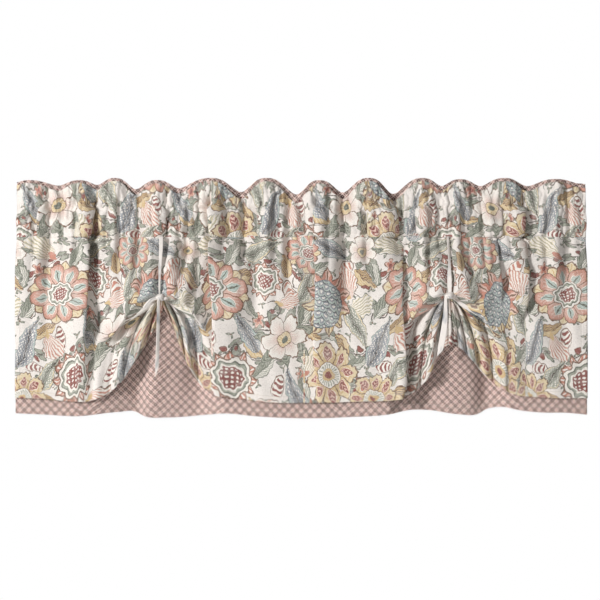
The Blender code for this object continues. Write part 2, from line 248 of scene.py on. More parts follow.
POCKET_FOLDS = (
    Fold(-484, -484, -20, -190, 7, 6, 4, 1),
    Fold(-436, -432, -20, -190, 6, 5, 3, 1),
    Fold(-398, -402, -20, -190, 6, 12, 6, 1),
    Fold(-352, -354, -20, -190, 5, 5, 3, -1),
    Fold(-314, -316, -20, -190, 7, 8, 5, 1),
    Fold(-262, -262, -20, -190, 5, 5, 3, 1),
    Fold(-219, -222, -20, -190, 6, 6, 4, -1),
    Fold(-178, -178, -20, -190, 6, 12, 6, 1),
    Fold(-112, -110, -20, -190, 6, 5, 3, -1),
    Fold(-74, -78, -20, -190, 5, 6, 4, 1),
    Fold(-24, -26, -20, -190, 7, 8, 5, 1),
    Fold(29, 29, -20, -190, 6, 10, 5, -1),
    Fold(76, 80, -20, -190, 6, 8, 5, -1),
    Fold(122, 124, -20, -190, 5, 5, 3, 1),
    Fold(180, 183, -20, -190, 7, 12, 6, -1),
    Fold(228, 227, -20, -190, 6, 8, 4, 1),
    Fold(266, 268, -20, -190, 6, 6, 4, 1),
    Fold(312, 310, -20, -190, 6, 6, 3, -1),
    Fold(350, 352, -20, -190, 5, 6, 4, 1),
    Fold(385, 382, -20, -190, 6, 11, 5, 1),
    Fold(428, 428, -20, -190, 6, 12, 5, 1),
    Fold(476, 474, -20, -190, 5, 5, 3, -1),
    Fold(516, 518, -20, -190, 6, 5, 3, 1),
)

# Where one stretch of cloth laps over the next. hidden: how far the cloth on each side is drawn
# towards the other. fade: how far above its foot it starts to open out. side: 1 where the cloth
# on the left lies in front, -1 where the cloth on the right does.
Lap = namedtuple("Lap", "x_top x_foot top foot fade width hidden depth side")
FACE_LAPS = (
    Lap(-416, -413, -112, -330, 60, 8, 13, 9, 1),
    Lap(-168, -163, -112, -450, 80, 8, 15, 12, -1),
    Lap(25, 31, -112, -470, 160, 6, 8, 7, -1),
    Lap(186, 192, -112, -470, 80, 8, 15, 12, 1),
    Lap(379, 384, -112, -250, 50, 7, 12, 9, 1),
    Lap(427, 427, -112, -290, 60, 7, 12, 9, 1),
)
HEADING_LAPS = (
    Lap(-502, -504, -50, -118, 14, 5, 7, 6, -1),
    Lap(-405, -414, -48, -119, 12, 6, 11, 9, 1),
    Lap(-262, -262, -54, -116, 16, 4, 5, 5, 1),
    Lap(-180, -169, -48, -119, 12, 6, 11, 9, -1),
    Lap(-84, -86, -50, -117, 14, 5, 8, 7, -1),
    Lap(30, 25, -48, -118, 12, 5, 10, 8, -1),
    Lap(114, 116, -54, -116, 16, 4, 5, 5, 1),
    Lap(182, 186, -48, -119, 12, 6, 11, 9, 1),
    Lap(226, 228, -50, -117, 14, 5, 9, 7, -1),
    Lap(382, 379, -48, -119, 12, 6, 11, 9, 1),
    Lap(428, 427, -48, -119, 12, 6, 11, 9, 1),
)

# Each tie: where it is knotted, how far the ballooned cloth reaches to each side, how far it
# stands forward, and the free end, which hangs to tail_foot and drifts tail_drift sideways. The
# turns, in degrees, are those of the strip about its length, to the right where above 0.
Tie = namedtuple(
    "Tie",
    "side x z reach_left reach_right balloon tail_foot tail_drift"
    " strap_widths strap_turns tail_widths tail_turns",
)
TIES = (
    Tie(
        "left", -270, -229, 128, 100, 30, -382, -7,
        (8, 7.5, 6, 4, 3.5), (8, -20, 16, 4), (5, 6.5, 7, 7, 7, 6.5), (24, 34, 38, -24),
    ),
    Tie(
        "right", 282, -226, 104, 112, 28, -343, -20,
        (5, 4.5, 5, 11, 11), (22, 30, -26, -30), (5, 8, 11, 12.5, 12.5, 12), (-10, -30, -22, -34),
    ),
)

# How far below its knot the ballooned cloth turns under, by the distance to either side.
Crease = namedtuple("Crease", "across fall")
CREASE = (
    Crease(0, -4),
    Crease(25, -2),
    Crease(42, 9),
    Crease(58, 27),
    Crease(76, 54),
    Crease(92, 74),
    Crease(110, 80),
)
# Flutes that fan out from a knot, from left to right. start and end are shares of the tie's
# reach, and FLUTE_GAIN times height is how far a flute's ridge stands forward of its grooves.
Flute = namedtuple("Flute", "start end height")
FLUTES = {
    "left": (
        Flute(-1.00, -0.78, 6),
        Flute(-0.78, -0.56, 9),
        Flute(-0.56, -0.22, 18),
        Flute(-0.22, -0.08, 8),
        Flute(-0.08, 0.06, 5),
        Flute(0.06, 0.26, 14),
        Flute(0.26, 0.46, 16),
        Flute(0.46, 0.70, 12),
        Flute(0.70, 1.00, 8),
    ),
    "right": (
        Flute(-1.00, -0.76, 8),
        Flute(-0.76, -0.52, 14),
        Flute(-0.52, -0.20, 18),
        Flute(-0.20, -0.09, 8),
        Flute(-0.09, 0.01, 5),
        Flute(0.01, 0.10, 8),
        Flute(0.10, 0.17, 6),
        Flute(0.17, 0.33, 14),
        Flute(0.33, 0.52, 17),
        Flute(0.52, 0.77, 15),
        Flute(0.77, 1.00, 9),
    ),
}
FLUTE_FLOOR = 22.0  # how far the grooves between flutes lie behind the face
FAN_BACK = 5.0  # how far behind the face the flutes start, under the ballooned cloth


# ---------------------------------------------------------------- helpers
def column(table, name):
    return np.array([getattr(row, name) for row in table], float)


def ease(share):
    """0 to 1 with level ends."""
    share = np.clip(share, 0.0, 1.0)
    return share * share * (3.0 - 2.0 * share)


def bell(distance, width):
    """1 at no distance, falling away smoothly on both sides to almost 0 at twice the width."""
    return np.exp(-((distance / width) ** 2))


def circle(sides):
    """The angles of a ring's points, in radians."""
    return np.linspace(0.0, 2.0 * math.pi, sides, endpoint=False)


def lengths_along(points, axis=0):
    """How far each point lies from the first one, measured from point to point along the axis."""
    steps = np.linalg.norm(np.diff(points, axis=axis), axis=-1)
    start = np.zeros_like(np.take(steps, [0], axis=axis))
    return np.concatenate((start, np.cumsum(steps, axis=axis)), axis=axis)


def read_along(line, along, places):
    """The points of a line at the places, which are lengths along it."""
    return np.stack([np.interp(places, along, line[:, axis]) for axis in range(3)], axis=-1)


def waves_through(table, name, x):
    """The column's values at x, swinging from each row to the next like a wave."""
    xs = column(table, "x")
    values = column(table, name)
    row = np.clip(np.searchsorted(xs, x) - 1, 0, len(xs) - 2)
    share = ease((x - xs[row]) / (xs[row + 1] - xs[row]))
    return values[row] + (values[row + 1] - values[row]) * share


def lobes_through(table, name, x):
    """Like waves_through, with broad round tops and narrow valleys."""
    xs = column(table, "x")
    values = column(table, name)
    row = np.clip(np.searchsorted(xs, x) - 1, 0, len(xs) - 2)
    share = np.clip((x - xs[row]) / (xs[row + 1] - xs[row]), 0.0, 1.0)
    falling = values[row] > values[row + 1]
    share = np.where(falling, ease(share**1.4), 1.0 - ease((1.0 - share) ** 1.4))
    return values[row] + (values[row + 1] - values[row]) * share


def curve_through(xs, values, x):
    """A smooth curve through the points, read at x."""
    slopes = np.gradient(values, xs)
    row = np.clip(np.searchsorted(xs, x) - 1, 0, len(xs) - 2)
    step = xs[row + 1] - xs[row]
    t = np.clip((x - xs[row]) / step, 0.0, 1.0)
    start = (1 + 2 * t) * (1 - t) ** 2 * values[row] + t * (1 - t) ** 2 * step * slopes[row]
    end = t * t * (3 - 2 * t) * values[row + 1] - t * t * (1 - t) * step * slopes[row + 1]
    return start + end


def hem_line(table, x):
    return curve_through(column(table, "x"), column(table, "z"), x)


def ripple(x, z, seed, across, down, waves=9):
    """Soft unevenness of about -1 to 1, of the given wavelengths."""
    draw = np.random.default_rng(seed)
    total = np.zeros(np.broadcast(x, z).shape)
    for _ in range(waves):
        turns_x = draw.normal() / across
        turns_z = draw.normal() / down
        total = total + np.sin(2.0 * np.pi * (turns_x * x + turns_z * z + draw.random()))
    return total / math.sqrt(waves)


def gathers(x, kind):
    """Round ridges with sharp grooves between them, of uneven width and height, 0 to 1."""
    draw = np.random.default_rng(kind.seed)
    widths = draw.uniform(kind.narrow, kind.wide, int(GATHER_RUN / kind.narrow))
    edges = LEFT - GATHER_LEAD + np.cumsum(widths)
    heights = draw.uniform(0.35, 1.0, len(edges))
    row = np.clip(np.searchsorted(edges, x) - 1, 0, len(edges) - 2)
    share = (x - edges[row]) / (edges[row + 1] - edges[row])
    return heights[row] * np.abs(np.sin(np.pi * np.clip(share, 0.0, 1.0))) ** 0.75


# ---------------------------------------------------------------- how the cloth hangs
def gather_sway(x):
    """How far the big gathers stand back or forward along the heading."""
    return waves_through(RUFFLE, "out", x)


def hanging_folds(table, x, z):
    depth = np.zeros(np.broadcast(x, z).shape)
    for fold in table:
        share = np.clip((z - fold.top) / (fold.foot - fold.top), 0.0, 1.0)
        centre = fold.x_top + (fold.x_foot - fold.x_top) * share
        inside = ease(share / 0.2) * ease((1.0 - share) / 0.35)
        away = (x - centre) / fold.width
        groove = GROOVE_GAIN * fold.depth * np.exp(-away * away)
        ridge = RIDGE_GAIN * fold.ridge * np.exp(-((away - 2.0 * fold.side) ** 2) / 2.2)
        depth = depth + inside * (groove - ridge)
    return depth


def lapped(laps, x, z):
    """(sideways shift, depth) where one stretch of cloth laps over the next."""
    shift = np.zeros(np.broadcast(x, z).shape)
    depth = np.zeros(np.broadcast(x, z).shape)
    for lap in laps:
        share = np.clip((z - lap.top) / (lap.foot - lap.top), 0.0, 1.0)
        centre = lap.x_top + (lap.x_foot - lap.x_top) * share + 3.0 * np.sin(z / 43.0 + lap.x_top)
        inside = ease((lap.top - z) / 14.0) * ease((z - lap.foot) / lap.fade)
        away = (x - centre) / lap.width
        shift = shift - inside * lap.hidden * away * np.exp(0.5 * (1.0 - away * away))
        level = away / np.sqrt(1.0 + away * away) * bell(away, 4.5)
        depth = depth + LAP_GAIN * inside * lap.side * lap.depth * level
    return shift, depth


def balloon_share(tie, x):
    """1 beside the knot, 0 where the ballooned cloth ends, and drawn in behind the tie."""
    across = x - tie.x
    reach = np.where(across < 0, tie.reach_left, tie.reach_right)
    dome = np.clip(1.0 - (across / reach) ** 2, 0.0, 1.0) ** 1.5
    return dome * (1.0 - 0.5 * bell(across, 13.0))


def crease_line(x):
    """z of the line where ballooned cloth turns under, level at mid-height away from the ties."""
    line = np.full(np.shape(x), TIES[0].z - CREASE[-1].fall, float)
    for tie in TIES:
        across = np.abs(x - tie.x)
        near = tie.z - curve_through(column(CREASE, "across"), column(CREASE, "fall"), across)
        line = np.where(across < CREASE[-1].across, near, line)
    return line


def pucker_places(x, z):
    """x drawn a little to one side or the other, so that no pucker runs dead straight."""
    broad = 2.6 * ripple(x, z, seed=61, across=70.0, down=55.0)
    fine = 1.2 * ripple(x, z, seed=62, across=24.0, down=26.0)
    return x + broad + fine


def gathered_seam(x, z, drop):
    """Puckers below a gathered seam: sharp and close at the seam, wider and softer below."""
    places = pucker_places(x, z)
    close = gathers(places, SEAM_GATHERS) - 0.5
    wide = gathers(places, BIG_GATHERS) - 0.5
    return -6.0 * close * np.exp(-drop / 28.0) - 13.0 * wide * np.exp(-drop / 110.0)


def hang(x, z):
    """y of the back side of the face where it hangs from the seam, above the crease line."""
    drop = np.maximum(SEAM - z, 0.0)
    depth = gather_sway(x) * 0.7 * (1.0 - 0.65 * ease(drop / 110.0)) - FACE_BOW * ease(drop / 70.0)
    folds = hanging_folds(POCKET_FOLDS, x, z) + hanging_folds(FACE_FOLDS, x, z)
    depth = depth + folds * (0.6 + 0.4 * ease(drop / 24.0))
    depth = depth + lapped(FACE_LAPS, x, z)[1] * ease(drop / 24.0)
    depth = depth + gathered_seam(x, z, drop) * (0.45 + 0.55 * ease(drop / 12.0))
    depth = depth + 1.1 * ripple(x, z, seed=21, across=60.0, down=170.0) * ease(drop / 60.0)
    crease = crease_line(x)
    for tie in TIES:
        share = balloon_share(tie, x)
        rise = 0.25 + 0.75 * ease(drop / (SEAM - crease))
        depth = depth - tie.balloon * share * rise * ease(drop / 40.0)
        drag = ripple(x - tie.x, (z - tie.z) * 0.6, seed=31, across=34.0, down=60.0)
        depth = depth + 4.0 * drag * share * ease(drop / 60.0)
    return depth


def flute_depth(tie, share, along):
    """y of the flutes against the face's own, from their place across the fan and along it."""
    depth = np.zeros(np.broadcast(share, along).shape)
    for flute in FLUTES[tie.side]:
        inside = (share >= flute.start) & (share < flute.end)
        t = (share - flute.start) / (flute.end - flute.start)
        ridge = np.abs(np.sin(np.pi * np.clip(t, 0.0, 1.0))) ** 0.75
        depth = np.where(inside, -FLUTE_GAIN * flute.height * ridge, depth)
    edge = ease((1.0 - np.abs(share)) / 0.15)
    return (depth + FLUTE_FLOOR * edge) * ease(along / 24.0)


# ---------------------------------------------------------------- the face, laid out
FACE_COLUMNS = 470
HANG_ROWS = 44
TURN_ROWS = 9
FAN_ROWS = 46


def spaced(count, closeness):
    """0 to 1 in count steps, closer together at both ends."""
    t = np.linspace(0.0, 1.0, count)
    return t - closeness * np.sin(2.0 * np.pi * t) / (2.0 * np.pi)


def face_columns():
    """x of the face's columns, closer together at the ties and the laps."""
    samples = np.linspace(LEFT, RIGHT, 3000)
    density = np.ones_like(samples)
    for tie in TIES:
        density += 0.9 * np.exp(-(((samples - tie.x) / 105.0) ** 6))
    for lap in FACE_LAPS:
        density += 1.3 * bell(samples - lap.x_top, 15.0)
    total = np.cumsum(density)
    share = (total - total[0]) / (total[-1] - total[0])
    return np.interp(np.linspace(0.0, 1.0, FACE_COLUMNS), share, samples)


def bend(start, guide, end, t):
    """A point of the quadratic curve from start to end that guide pulls."""
    return (1 - t) ** 2 * start + 2 * t * (1 - t) * guide + t * t * end


def nearest_tie(x):
    """For each x: the tie it belongs to (0 or 1), and its place in that tie's reach, -1 to 1."""
    which = (x > 0.5 * (TIES[0].x + TIES[1].x)).astype(int)
    middle = np.array([tie.x for tie in TIES], float)[which]
    left = np.array([tie.reach_left for tie in TIES], float)[which]
    right = np.array([tie.reach_right for tie in TIES], float)[which]
    return which, (x - middle) / np.where(x < middle, left, right)


def fan_curves(x, hem):
    """Start, guide and end (x, z) of each column below the crease line.

    Columns near a tie start bunched behind its knot and spread out to the hem. Further out
    they start behind the crease line, and past the tie's reach they hang straight.
    """
    which, share = nearest_tie(x)
    tie_x = np.array([tie.x for tie in TIES], float)[which]
    tie_z = np.array([tie.z for tie in TIES], float)[which]
    side = np.sign(share)
    away = np.abs(x - tie_x)
    outward = np.abs(share)
    inner = 0.62
    slide = ease((outward - inner) / (1.0 - inner))
    start_x = tie_x + side * (BUNCH * np.minimum(outward / inner, 1.0) * (1.0 - slide) + away * slide)
    tuck = CREASE_TUCK - (CREASE_TUCK + CREASE_RUN) * ease((outward - 0.6) / 0.25)
    behind_crease = crease_line(start_x) + tuck
    start_z = (tie_z - 2.0) * (1.0 - slide) + behind_crease * slide
    angle = np.radians(82.0) * np.minimum(outward, 1.0) ** 0.85
    pull = 0.72 * away + 14.0
    guide_x = start_x + side * pull * np.sin(angle) * (1.0 - slide)
    guide_z = start_z - pull * np.cos(angle)
    straight = ease((outward - 0.7) / 0.4)
    guide_x = guide_x * (1.0 - straight) + x * straight
    guide_z = guide_z * (1.0 - straight) + 0.5 * (start_z + hem) * straight
    return (start_x, start_z), (guide_x, guide_z), (x, hem)


def lay_face():
    """The face's points in rows from seam to hem: hung, turned under at the crease, then fanned."""
    x = face_columns()
    hem = hem_line(FACE_HEM, x)
    which, share = nearest_tie(x)
    outward = np.abs(share)
    gathered = ease((0.9 - outward) / 0.32)
    crease = np.maximum(crease_line(x), hem + CREASE_RUN + 12.0)
    start, guide, end = fan_curves(x, hem)
    start_z = np.maximum(start[1], hem + 8.0)
    rows = []
    top = SEAM + SEAM_TUCK
    for level in spaced(HANG_ROWS, 0.5):
        z = top + (crease - top) * level
        rows.append((x, hang(x, z), z))
    crease_y = rows[-1][1]
    fan_y = hang(x, start_z) * (1.0 - gathered) - (FACE_BOW - FAN_BACK) * gathered
    for level in spaced(TURN_ROWS + 2, 0.2)[1:-1]:
        under = 6.0 * np.sin(np.pi * level) * ease((start_z - crease + CREASE_RUN) / CREASE_RUN)
        turn_x = x + (start[0] - x) * ease(level)
        turn_z = crease + (start_z - crease) * level - under
        turned = crease_y + (fan_y - crease_y) * ease(level * 1.2)
        turn_y = turned * gathered + hang(x, turn_z) * (1.0 - gathered)
        rows.append((turn_x, turn_y, turn_z))
    for level in spaced(FAN_ROWS, 0.25):
        fan_x = bend(start[0], guide[0], end[0], level)
        fan_z = bend(start_z, np.minimum(guide[1], start_z - 2.0), hem, level)
        plain = hang(x, fan_z) + balloon_relief(x)
        spread = ease(level * 1.3) * gathered + 1.0 - gathered
        base = fan_y + (plain - fan_y) * spread
        along = np.hypot(fan_x - start[0], fan_z - start_z)
        flutes = np.zeros_like(x)
        for number, tie in enumerate(TIES):
            flutes = flutes + np.where(which == number, flute_depth(tie, share, along), 0.0)
        relax = 1.0 - 0.35 * level
        rows.append((fan_x, base + flutes * relax * (outward < 1.0), fan_z))
    points = np.array([np.stack(row, axis=1) for row in rows])
    shift = lapped(FACE_LAPS, points[:, :, 0], points[:, :, 2])[0]
    points[:, :, 0] += shift * ease((outward - 0.72) / 0.2)
    return points


def balloon_relief(x):
    """Takes the ballooned cloth's forward depth away again, for the cloth below the crease."""
    relief = np.zeros_like(x)
    for tie in TIES:
        relief = relief + tie.balloon * balloon_share(tie, x)
    return relief


# ---------------------------------------------------------------- heading and underlay, laid out
HEADING_COLUMNS = 560
HEADING_ROWS = 62
UNDERLAY_COLUMNS = 420
UNDERLAY_ROWS = 84


def from_pocket_edge(z):
    """Distance to the nearer edge of the rod pocket: its row of stitches or the seam under it."""
    return np.minimum(np.abs(z - TOP_STITCH), np.abs(z - SEAM))


def pocket_bow(x, z):
    """How far each wall of the pocket stands away from the middle."""
    height = TOP_STITCH - SEAM
    inside = np.where(z < TOP_STITCH, from_pocket_edge(z) / height, 0.0)
    bow = POCKET_BOW + 2.0 * ripple(x, z, seed=43, across=90.0, down=200.0)
    return bow * ease((inside - STITCH_BAND) / 0.45)


def heading_middle(x, z):
    """y between the heading's two cloths: big gathers, small gathers and the pinch of the stitches."""
    levels = (SEAM, SEAM + 4.0, SEAM + 22.0, SEAM + 37.0, TOP_STITCH - 4.0, TOP_STITCH)
    depth = gather_sway(x) * np.interp(z, levels, (0.7, 0.7, 0.5, 0.5, 0.9, 0.9))
    free = 1.0 - bell(from_pocket_edge(z), 10.0)
    places = pucker_places(x, z)
    low = gathers(places, SEAM_GATHERS)
    high = gathers(places, TOP_GATHERS)
    upper = ease((z - SEAM) / (TOP_STITCH - SEAM))
    close = low * (1.0 - upper) + high * upper - 0.5
    wide = gathers(places, BIG_GATHERS) - 0.5
    fading = 1.0 - 0.4 * ease((z - TOP_STITCH) / -TOP_STITCH)
    depth = depth - (2.7 + 3.0 * free) * close * fading - (4.0 + 5.0 * free) * wide * fading
    beside_stitches = bell(z - TOP_STITCH, 9.0)
    depth = depth - 5.0 * (gathers(places, STITCH_GATHERS) - 0.5) * beside_stitches
    return depth + 1.2 * ripple(x, z, seed=41, across=40.0, down=90.0) * free


def spread(cells, reach, pick):
    """Cells, each with what pick makes of those within reach of it, first down and then across."""
    for axis in (0, 1):
        padded = np.pad(cells, [(reach, reach) if side == axis else (0, 0) for side in (0, 1)], mode="edge")
        count = cells.shape[axis]
        cells = pick([padded.take(range(k, k + count), axis=axis) for k in range(2 * reach + 1)], axis=0)
    return cells


class Behind:
    """A smooth surface just behind a sheet of points, which the cloth behind it never passes."""

    CELL = 4.0

    def __init__(self, points):
        self.low = points[:, :, (2, 0)].min(axis=(0, 1))
        size = points[:, :, (2, 0)].max(axis=(0, 1)) - self.low
        cells = np.full((size / self.CELL).astype(int) + 1, -np.inf)
        places = ((points[:, :, (2, 0)] - self.low) / self.CELL).astype(int)
        np.maximum.at(cells, (places[:, :, 0], places[:, :, 1]), points[:, :, 1])
        for row in range(1, len(cells)):
            cells[row] = np.where(np.isinf(cells[row]), cells[row - 1], cells[row])
        for row in range(len(cells) - 2, -1, -1):
            cells[row] = np.where(np.isinf(cells[row]), cells[row + 1], cells[row])
        self.cells = spread(spread(cells, 3, np.max), 2, np.mean)

    def __call__(self, x, z):
        """y of the surface at each x and z."""
        down = np.clip((z - self.low[0]) / self.CELL - 0.5, 0.0, len(self.cells) - 1.001)
        across = np.clip((x - self.low[1]) / self.CELL - 0.5, 0.0, self.cells.shape[1] - 1.001)
        row, column = down.astype(int), across.astype(int)
        down, across = down - row, across - column
        upper = self.cells[row, column] * (1 - across) + self.cells[row, column + 1] * across
        lower = self.cells[row + 1, column] * (1 - across) + self.cells[row + 1, column + 1] * across
        return upper * (1 - down) + lower * down


def heading_points(back):
    """The heading's front or back cloth in rows from its top edge down to the seam."""
    x = np.linspace(LEFT, RIGHT, HEADING_COLUMNS)
    top = lobes_through(RUFFLE, "top", x)
    front_top = top - waves_through(RUFFLE, "reveal", x)
    if not back:
        top = front_top
    seam_y = hang(x, np.full_like(x, SEAM))
    if back:
        behind_front = Behind(heading_points(back=False))
        behind_face = Behind(lay_face())
    half = HEADING_ROWS // 2
    rows = []
    for level in np.concatenate((spaced(half, 0.35), 1.0 + spaced(half, 0.5)[1:])):
        ruffle_z = top + (TOP_STITCH - top) * min(level, 1.0)
        z = ruffle_z + (SEAM - TOP_STITCH) * max(level - 1.0, 0.0)
        middle = heading_middle(x, z)
        pinch = 0.55 + 0.45 * (1.0 - bell(from_pocket_edge(z), 8.0))
        folds = hanging_folds(POCKET_FOLDS, x, z) + hanging_folds(FACE_FOLDS, x, z)
        front = middle - pocket_bow(x, z) + folds * pinch
        sewn = ease((SEAM + 7.0 - z) / 7.0)
        curl = 0.6 * ease((SEAM + 2.5 - z) / 2.5)
        front = front * (1.0 - sewn) + (seam_y - CLOTH - LAYER_GAP) * sewn + curl
        shift, lap_depth = lapped(HEADING_LAPS, x, z)
        y = front + lap_depth
        if back:
            own = middle + pocket_bow(x, z)
            behind_underlay = behind_face(x, z) + UNDERLAY_GAP + CLOTH + LAYER_GAP
            own = own * (1.0 - sewn) + behind_underlay * sewn
            y = np.maximum(own, behind_front(x, z) + LAYER_GAP)
            shift = 0.0
        rows.append(np.stack((x + shift, y, z), axis=1))
    return np.array(rows)


def lay_underlay():
    """The underlay's points in rows from seam to hem, close behind the face's hem between the arches."""
    x = np.linspace(LEFT, RIGHT, UNDERLAY_COLUMNS)
    hem = hem_line(UNDERLAY_HEM, x)
    arches = ease((hem_line(FACE_HEM, x) + 424.0) / 34.0)
    behind_face = Behind(lay_face())
    top = SEAM + SEAM_TUCK
    rows = []
    for level in spaced(UNDERLAY_ROWS, 0.35):
        z = top + (hem - top) * level
        drop = np.maximum(SEAM - z, 0.0)
        y = gather_sway(x) * 0.25 + UNDERLAY_BACK + hanging_folds(UNDERLAY_FOLDS, x, z)
        y = y - 3.0 * (gathers(x, UNDERLAY_GATHERS) - 0.5) * np.exp(-drop / 60.0)
        y = y + ripple(x, z, seed=51, across=70.0, down=200.0)
        y = y + ARCH_BACK * arches * ease((-250.0 - z) / 60.0)
        limit = behind_face(x, z) + UNDERLAY_GAP
        beside_hem = (1.0 - arches) * ease((-330.0 - z) / 90.0)
        y = y + (limit + 1.5 - y) * 0.9 * beside_hem
        free = ease(drop / 45.0)
        rows.append(np.stack((x, np.maximum(y * free + limit * (1.0 - free), limit), z), axis=1))
    return np.array(rows)


# ---------------------------------------------------------------- meshes
def flat_places(points, reading_row):
    """Where each point lies on the flat cloth, in millimetres: across from the left, down from the top."""
    across = lengths_along(points[reading_row])
    down = lengths_along(points)
    return np.stack((np.broadcast_to(across, down.shape), down), axis=2)


def pleated_places(points, flat):
    """Flat places of the left and right corners of the face's quads.

    In the fans the print runs up from the hem, and each flute shows it unsqueezed from its
    middle out, because the rest of its cloth is folded away in the grooves beside it.
    """
    flat = flat.copy()
    which, share = nearest_tie(face_columns())
    whole = flat[-1, :, 1]
    cut = whole.copy()
    for number in range(len(TIES)):
        for side in (-1.0, 1.0):
            inside = (which == number) & (np.abs(share) < 1.0) & (share * side >= 0.0)
            outermost = np.argmin(np.abs(share * side - 1.0) + 9.0 * (which != number))
            cut[inside] = whole[outermost]
    turned = np.clip((np.arange(len(points)) - HANG_ROWS + 1.0) / (TURN_ROWS + 1.0), 0.0, 1.0)
    flat[:, :, 1] += np.outer(turned, cut - whole)
    near = flat[:, :-1].copy()
    far = flat[:, 1:].copy()
    along_row = lengths_along(points, axis=1)
    middle = 0.5 * (share[:-1] + share[1:])
    fan = slice(HANG_ROWS + TURN_ROWS, None)
    for number, tie in enumerate(TIES):
        for flute in FLUTES[tie.side]:
            inside = (which[:-1] == number) & (middle >= flute.start) & (middle < flute.end)
            quads = np.nonzero(inside)[0]
            if max(abs(flute.start), abs(flute.end)) > 0.9 or len(quads) == 0:
                continue
            axis = quads[len(quads) // 2]
            from_axis = along_row[fan] - along_row[fan, axis, None]
            near[fan, quads, 0] = flat[fan, axis, None, 0] + from_axis[:, quads]
            far[fan, quads, 0] = flat[fan, axis, None, 0] + from_axis[:, quads + 1]
    return near, far


def edge_places(flat):
    """How far each point lies from the nearer side edge, and up from the hem, in millimetres."""
    from_side = np.minimum(flat[:, :, 0], flat[:, -1:, 0] - flat[:, :, 0])
    return np.stack((from_side, flat[-1:, :, 1] - flat[:, :, 1]), axis=2)


def corner_places(near, far):
    """The places of each quad's four corners, from those of its left and right sides."""
    return np.stack((near[:-1], near[1:], far[1:], far[:-1]), axis=2).reshape(-1, 2)


def grid_mesh(name, points, near, far, edge):
    """A mesh over rows of points, facing the front.

    Its UV map "Cloth" is the place on the flat cloth in metres, from the places of each quad's
    left and right corners, and "Edge" holds the distances from the side edge and the hem.
    """
    rows, columns = points.shape[:2]
    number = np.arange(rows * columns).reshape(rows, columns)
    faces = np.stack((number[:-1, :-1], number[1:, :-1], number[1:, 1:], number[:-1, 1:]), axis=2)
    mesh = bpy.data.meshes.new(name)
    mesh.from_pydata((points * MM).reshape(-1, 3).tolist(), [], faces.reshape(-1, 4).tolist())
    cloth_map = mesh.uv_layers.new(name="Cloth")
    cloth_map.data.foreach_set("uv", (corner_places(near, far) * MM).ravel())
    edge_map = mesh.uv_layers.new(name="Edge")
    edge_map.data.foreach_set("uv", (corner_places(edge[:, :-1], edge[:, 1:]) * MM).ravel())
    mesh.shade_smooth()
    return mesh


def add_piece(name, mesh, materials):
    """Adds a mesh to the scene as a piece of the valance."""
    piece = bpy.data.objects.new(name, mesh)
    bpy.context.scene.collection.objects.link(piece)
    for material in materials:
        mesh.materials.append(material)
    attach(piece, BODY)
    return piece


def thicken(piece, thickness, towards_front):
    """Gives a sheet its thickness, with its second material on the wrong side at the back."""
    shell = piece.modifiers.new("Cloth thickness", "SOLIDIFY")
    shell.thickness = thickness
    shell.offset = 1.0 if towards_front else -1.0
    shell.material_offset = 1


# ---------------------------------------------------------------- drawing on cloth with nodes
REPEAT = (400.0, 330.0)  # the floral print's repeat as drawn, across and down, mm
PRINT_SIZE = 1.12  # how much bigger than drawn the floral print is printed
LATTICE_STEP = 12.0  # from one ring of the lattice print to the next, mm
LATTICE_BLEED = 0.07  # width of its shapes' soft edges, as a share of the slanting step
THREAD_PITCH = 0.55  # of the weave, mm
WEAVE_RELIEF = 0.016  # height of its threads, mm
CREASE_RELIEF = 1.1  # height of the small creases left in the cloth, mm


class Number:
    """A number at each point of the cloth, so that a shape can be written as sums."""

    def __init__(self, tree, socket):
        self.tree = tree
        self.socket = socket

    def step(self, operation, *others):
        node = self.tree.nodes.new("ShaderNodeMath")
        node.operation = operation
        for place, value in enumerate((self, *others)):
            fill(self.tree, node.inputs[place], value)
        return Number(self.tree, node.outputs[0])

    def __add__(self, other):
        return self.step("ADD", other)

    def __sub__(self, other):
        return self.step("SUBTRACT", other)

    def __mul__(self, other):
        return self.step("MULTIPLY", other)

    def __truediv__(self, other):
        return self.step("DIVIDE", other)

    def __pow__(self, other):
        return self.step("POWER", other)

    def __abs__(self):
        return self.step("ABSOLUTE")

    def __lt__(self, other):
        return self.step("LESS_THAN", other)

    def __gt__(self, other):
        return self.step("GREATER_THAN", other)

    def __and__(self, other):
        return self.step("MULTIPLY", other)

    def times_plus(self, factor, more):
        return self.step("MULTIPLY_ADD", factor, more)

    def wave(self, turns, shift=0.0):
        """A cosine that turns this many radians for each 1 of the number."""
        return self.times_plus(turns, shift).step("COSINE")

    def wrapped(self, size):
        """The number's place in steps of the size, from minus half to plus half of it."""
        return self.step("WRAP", 0.5 * size, -0.5 * size)

    def folded(self, size):
        """The number swinging between 0 and the size."""
        return self.step("PINGPONG", size)

    def limited(self):
        """Held between 0 and 1."""
        return self.step("MAXIMUM", 0.0).step("MINIMUM", 1.0)

    def hypotenuse(self, other):
        return (self * self + other * other).step("SQRT")


def fill(tree, socket, value):
    """Links a number, place or colour to a socket, or sets its constant."""
    if isinstance(value, Number):
        tree.links.new(value.socket, socket)
    elif isinstance(value, bpy.types.NodeSocket):
        tree.links.new(value, socket)
    else:
        socket.default_value = value


def blend(tree, share, under, over):
    """The colour under where the share is 0, and over where it is 1."""
    node = tree.nodes.new("ShaderNodeMix")
    node.data_type = "RGBA"
    fill(tree, node.inputs[0], share)
    fill(tree, node.inputs[6], under)
    fill(tree, node.inputs[7], over)
    return node.outputs[2]


def vector_step(tree, operation, *values):
    node = tree.nodes.new("ShaderNodeVectorMath")
    node.operation = operation
    for place, value in enumerate(values):
        fill(tree, node.inputs[place], value)
    return node.outputs["Value" if operation in ("LENGTH", "DISTANCE") else "Vector"]


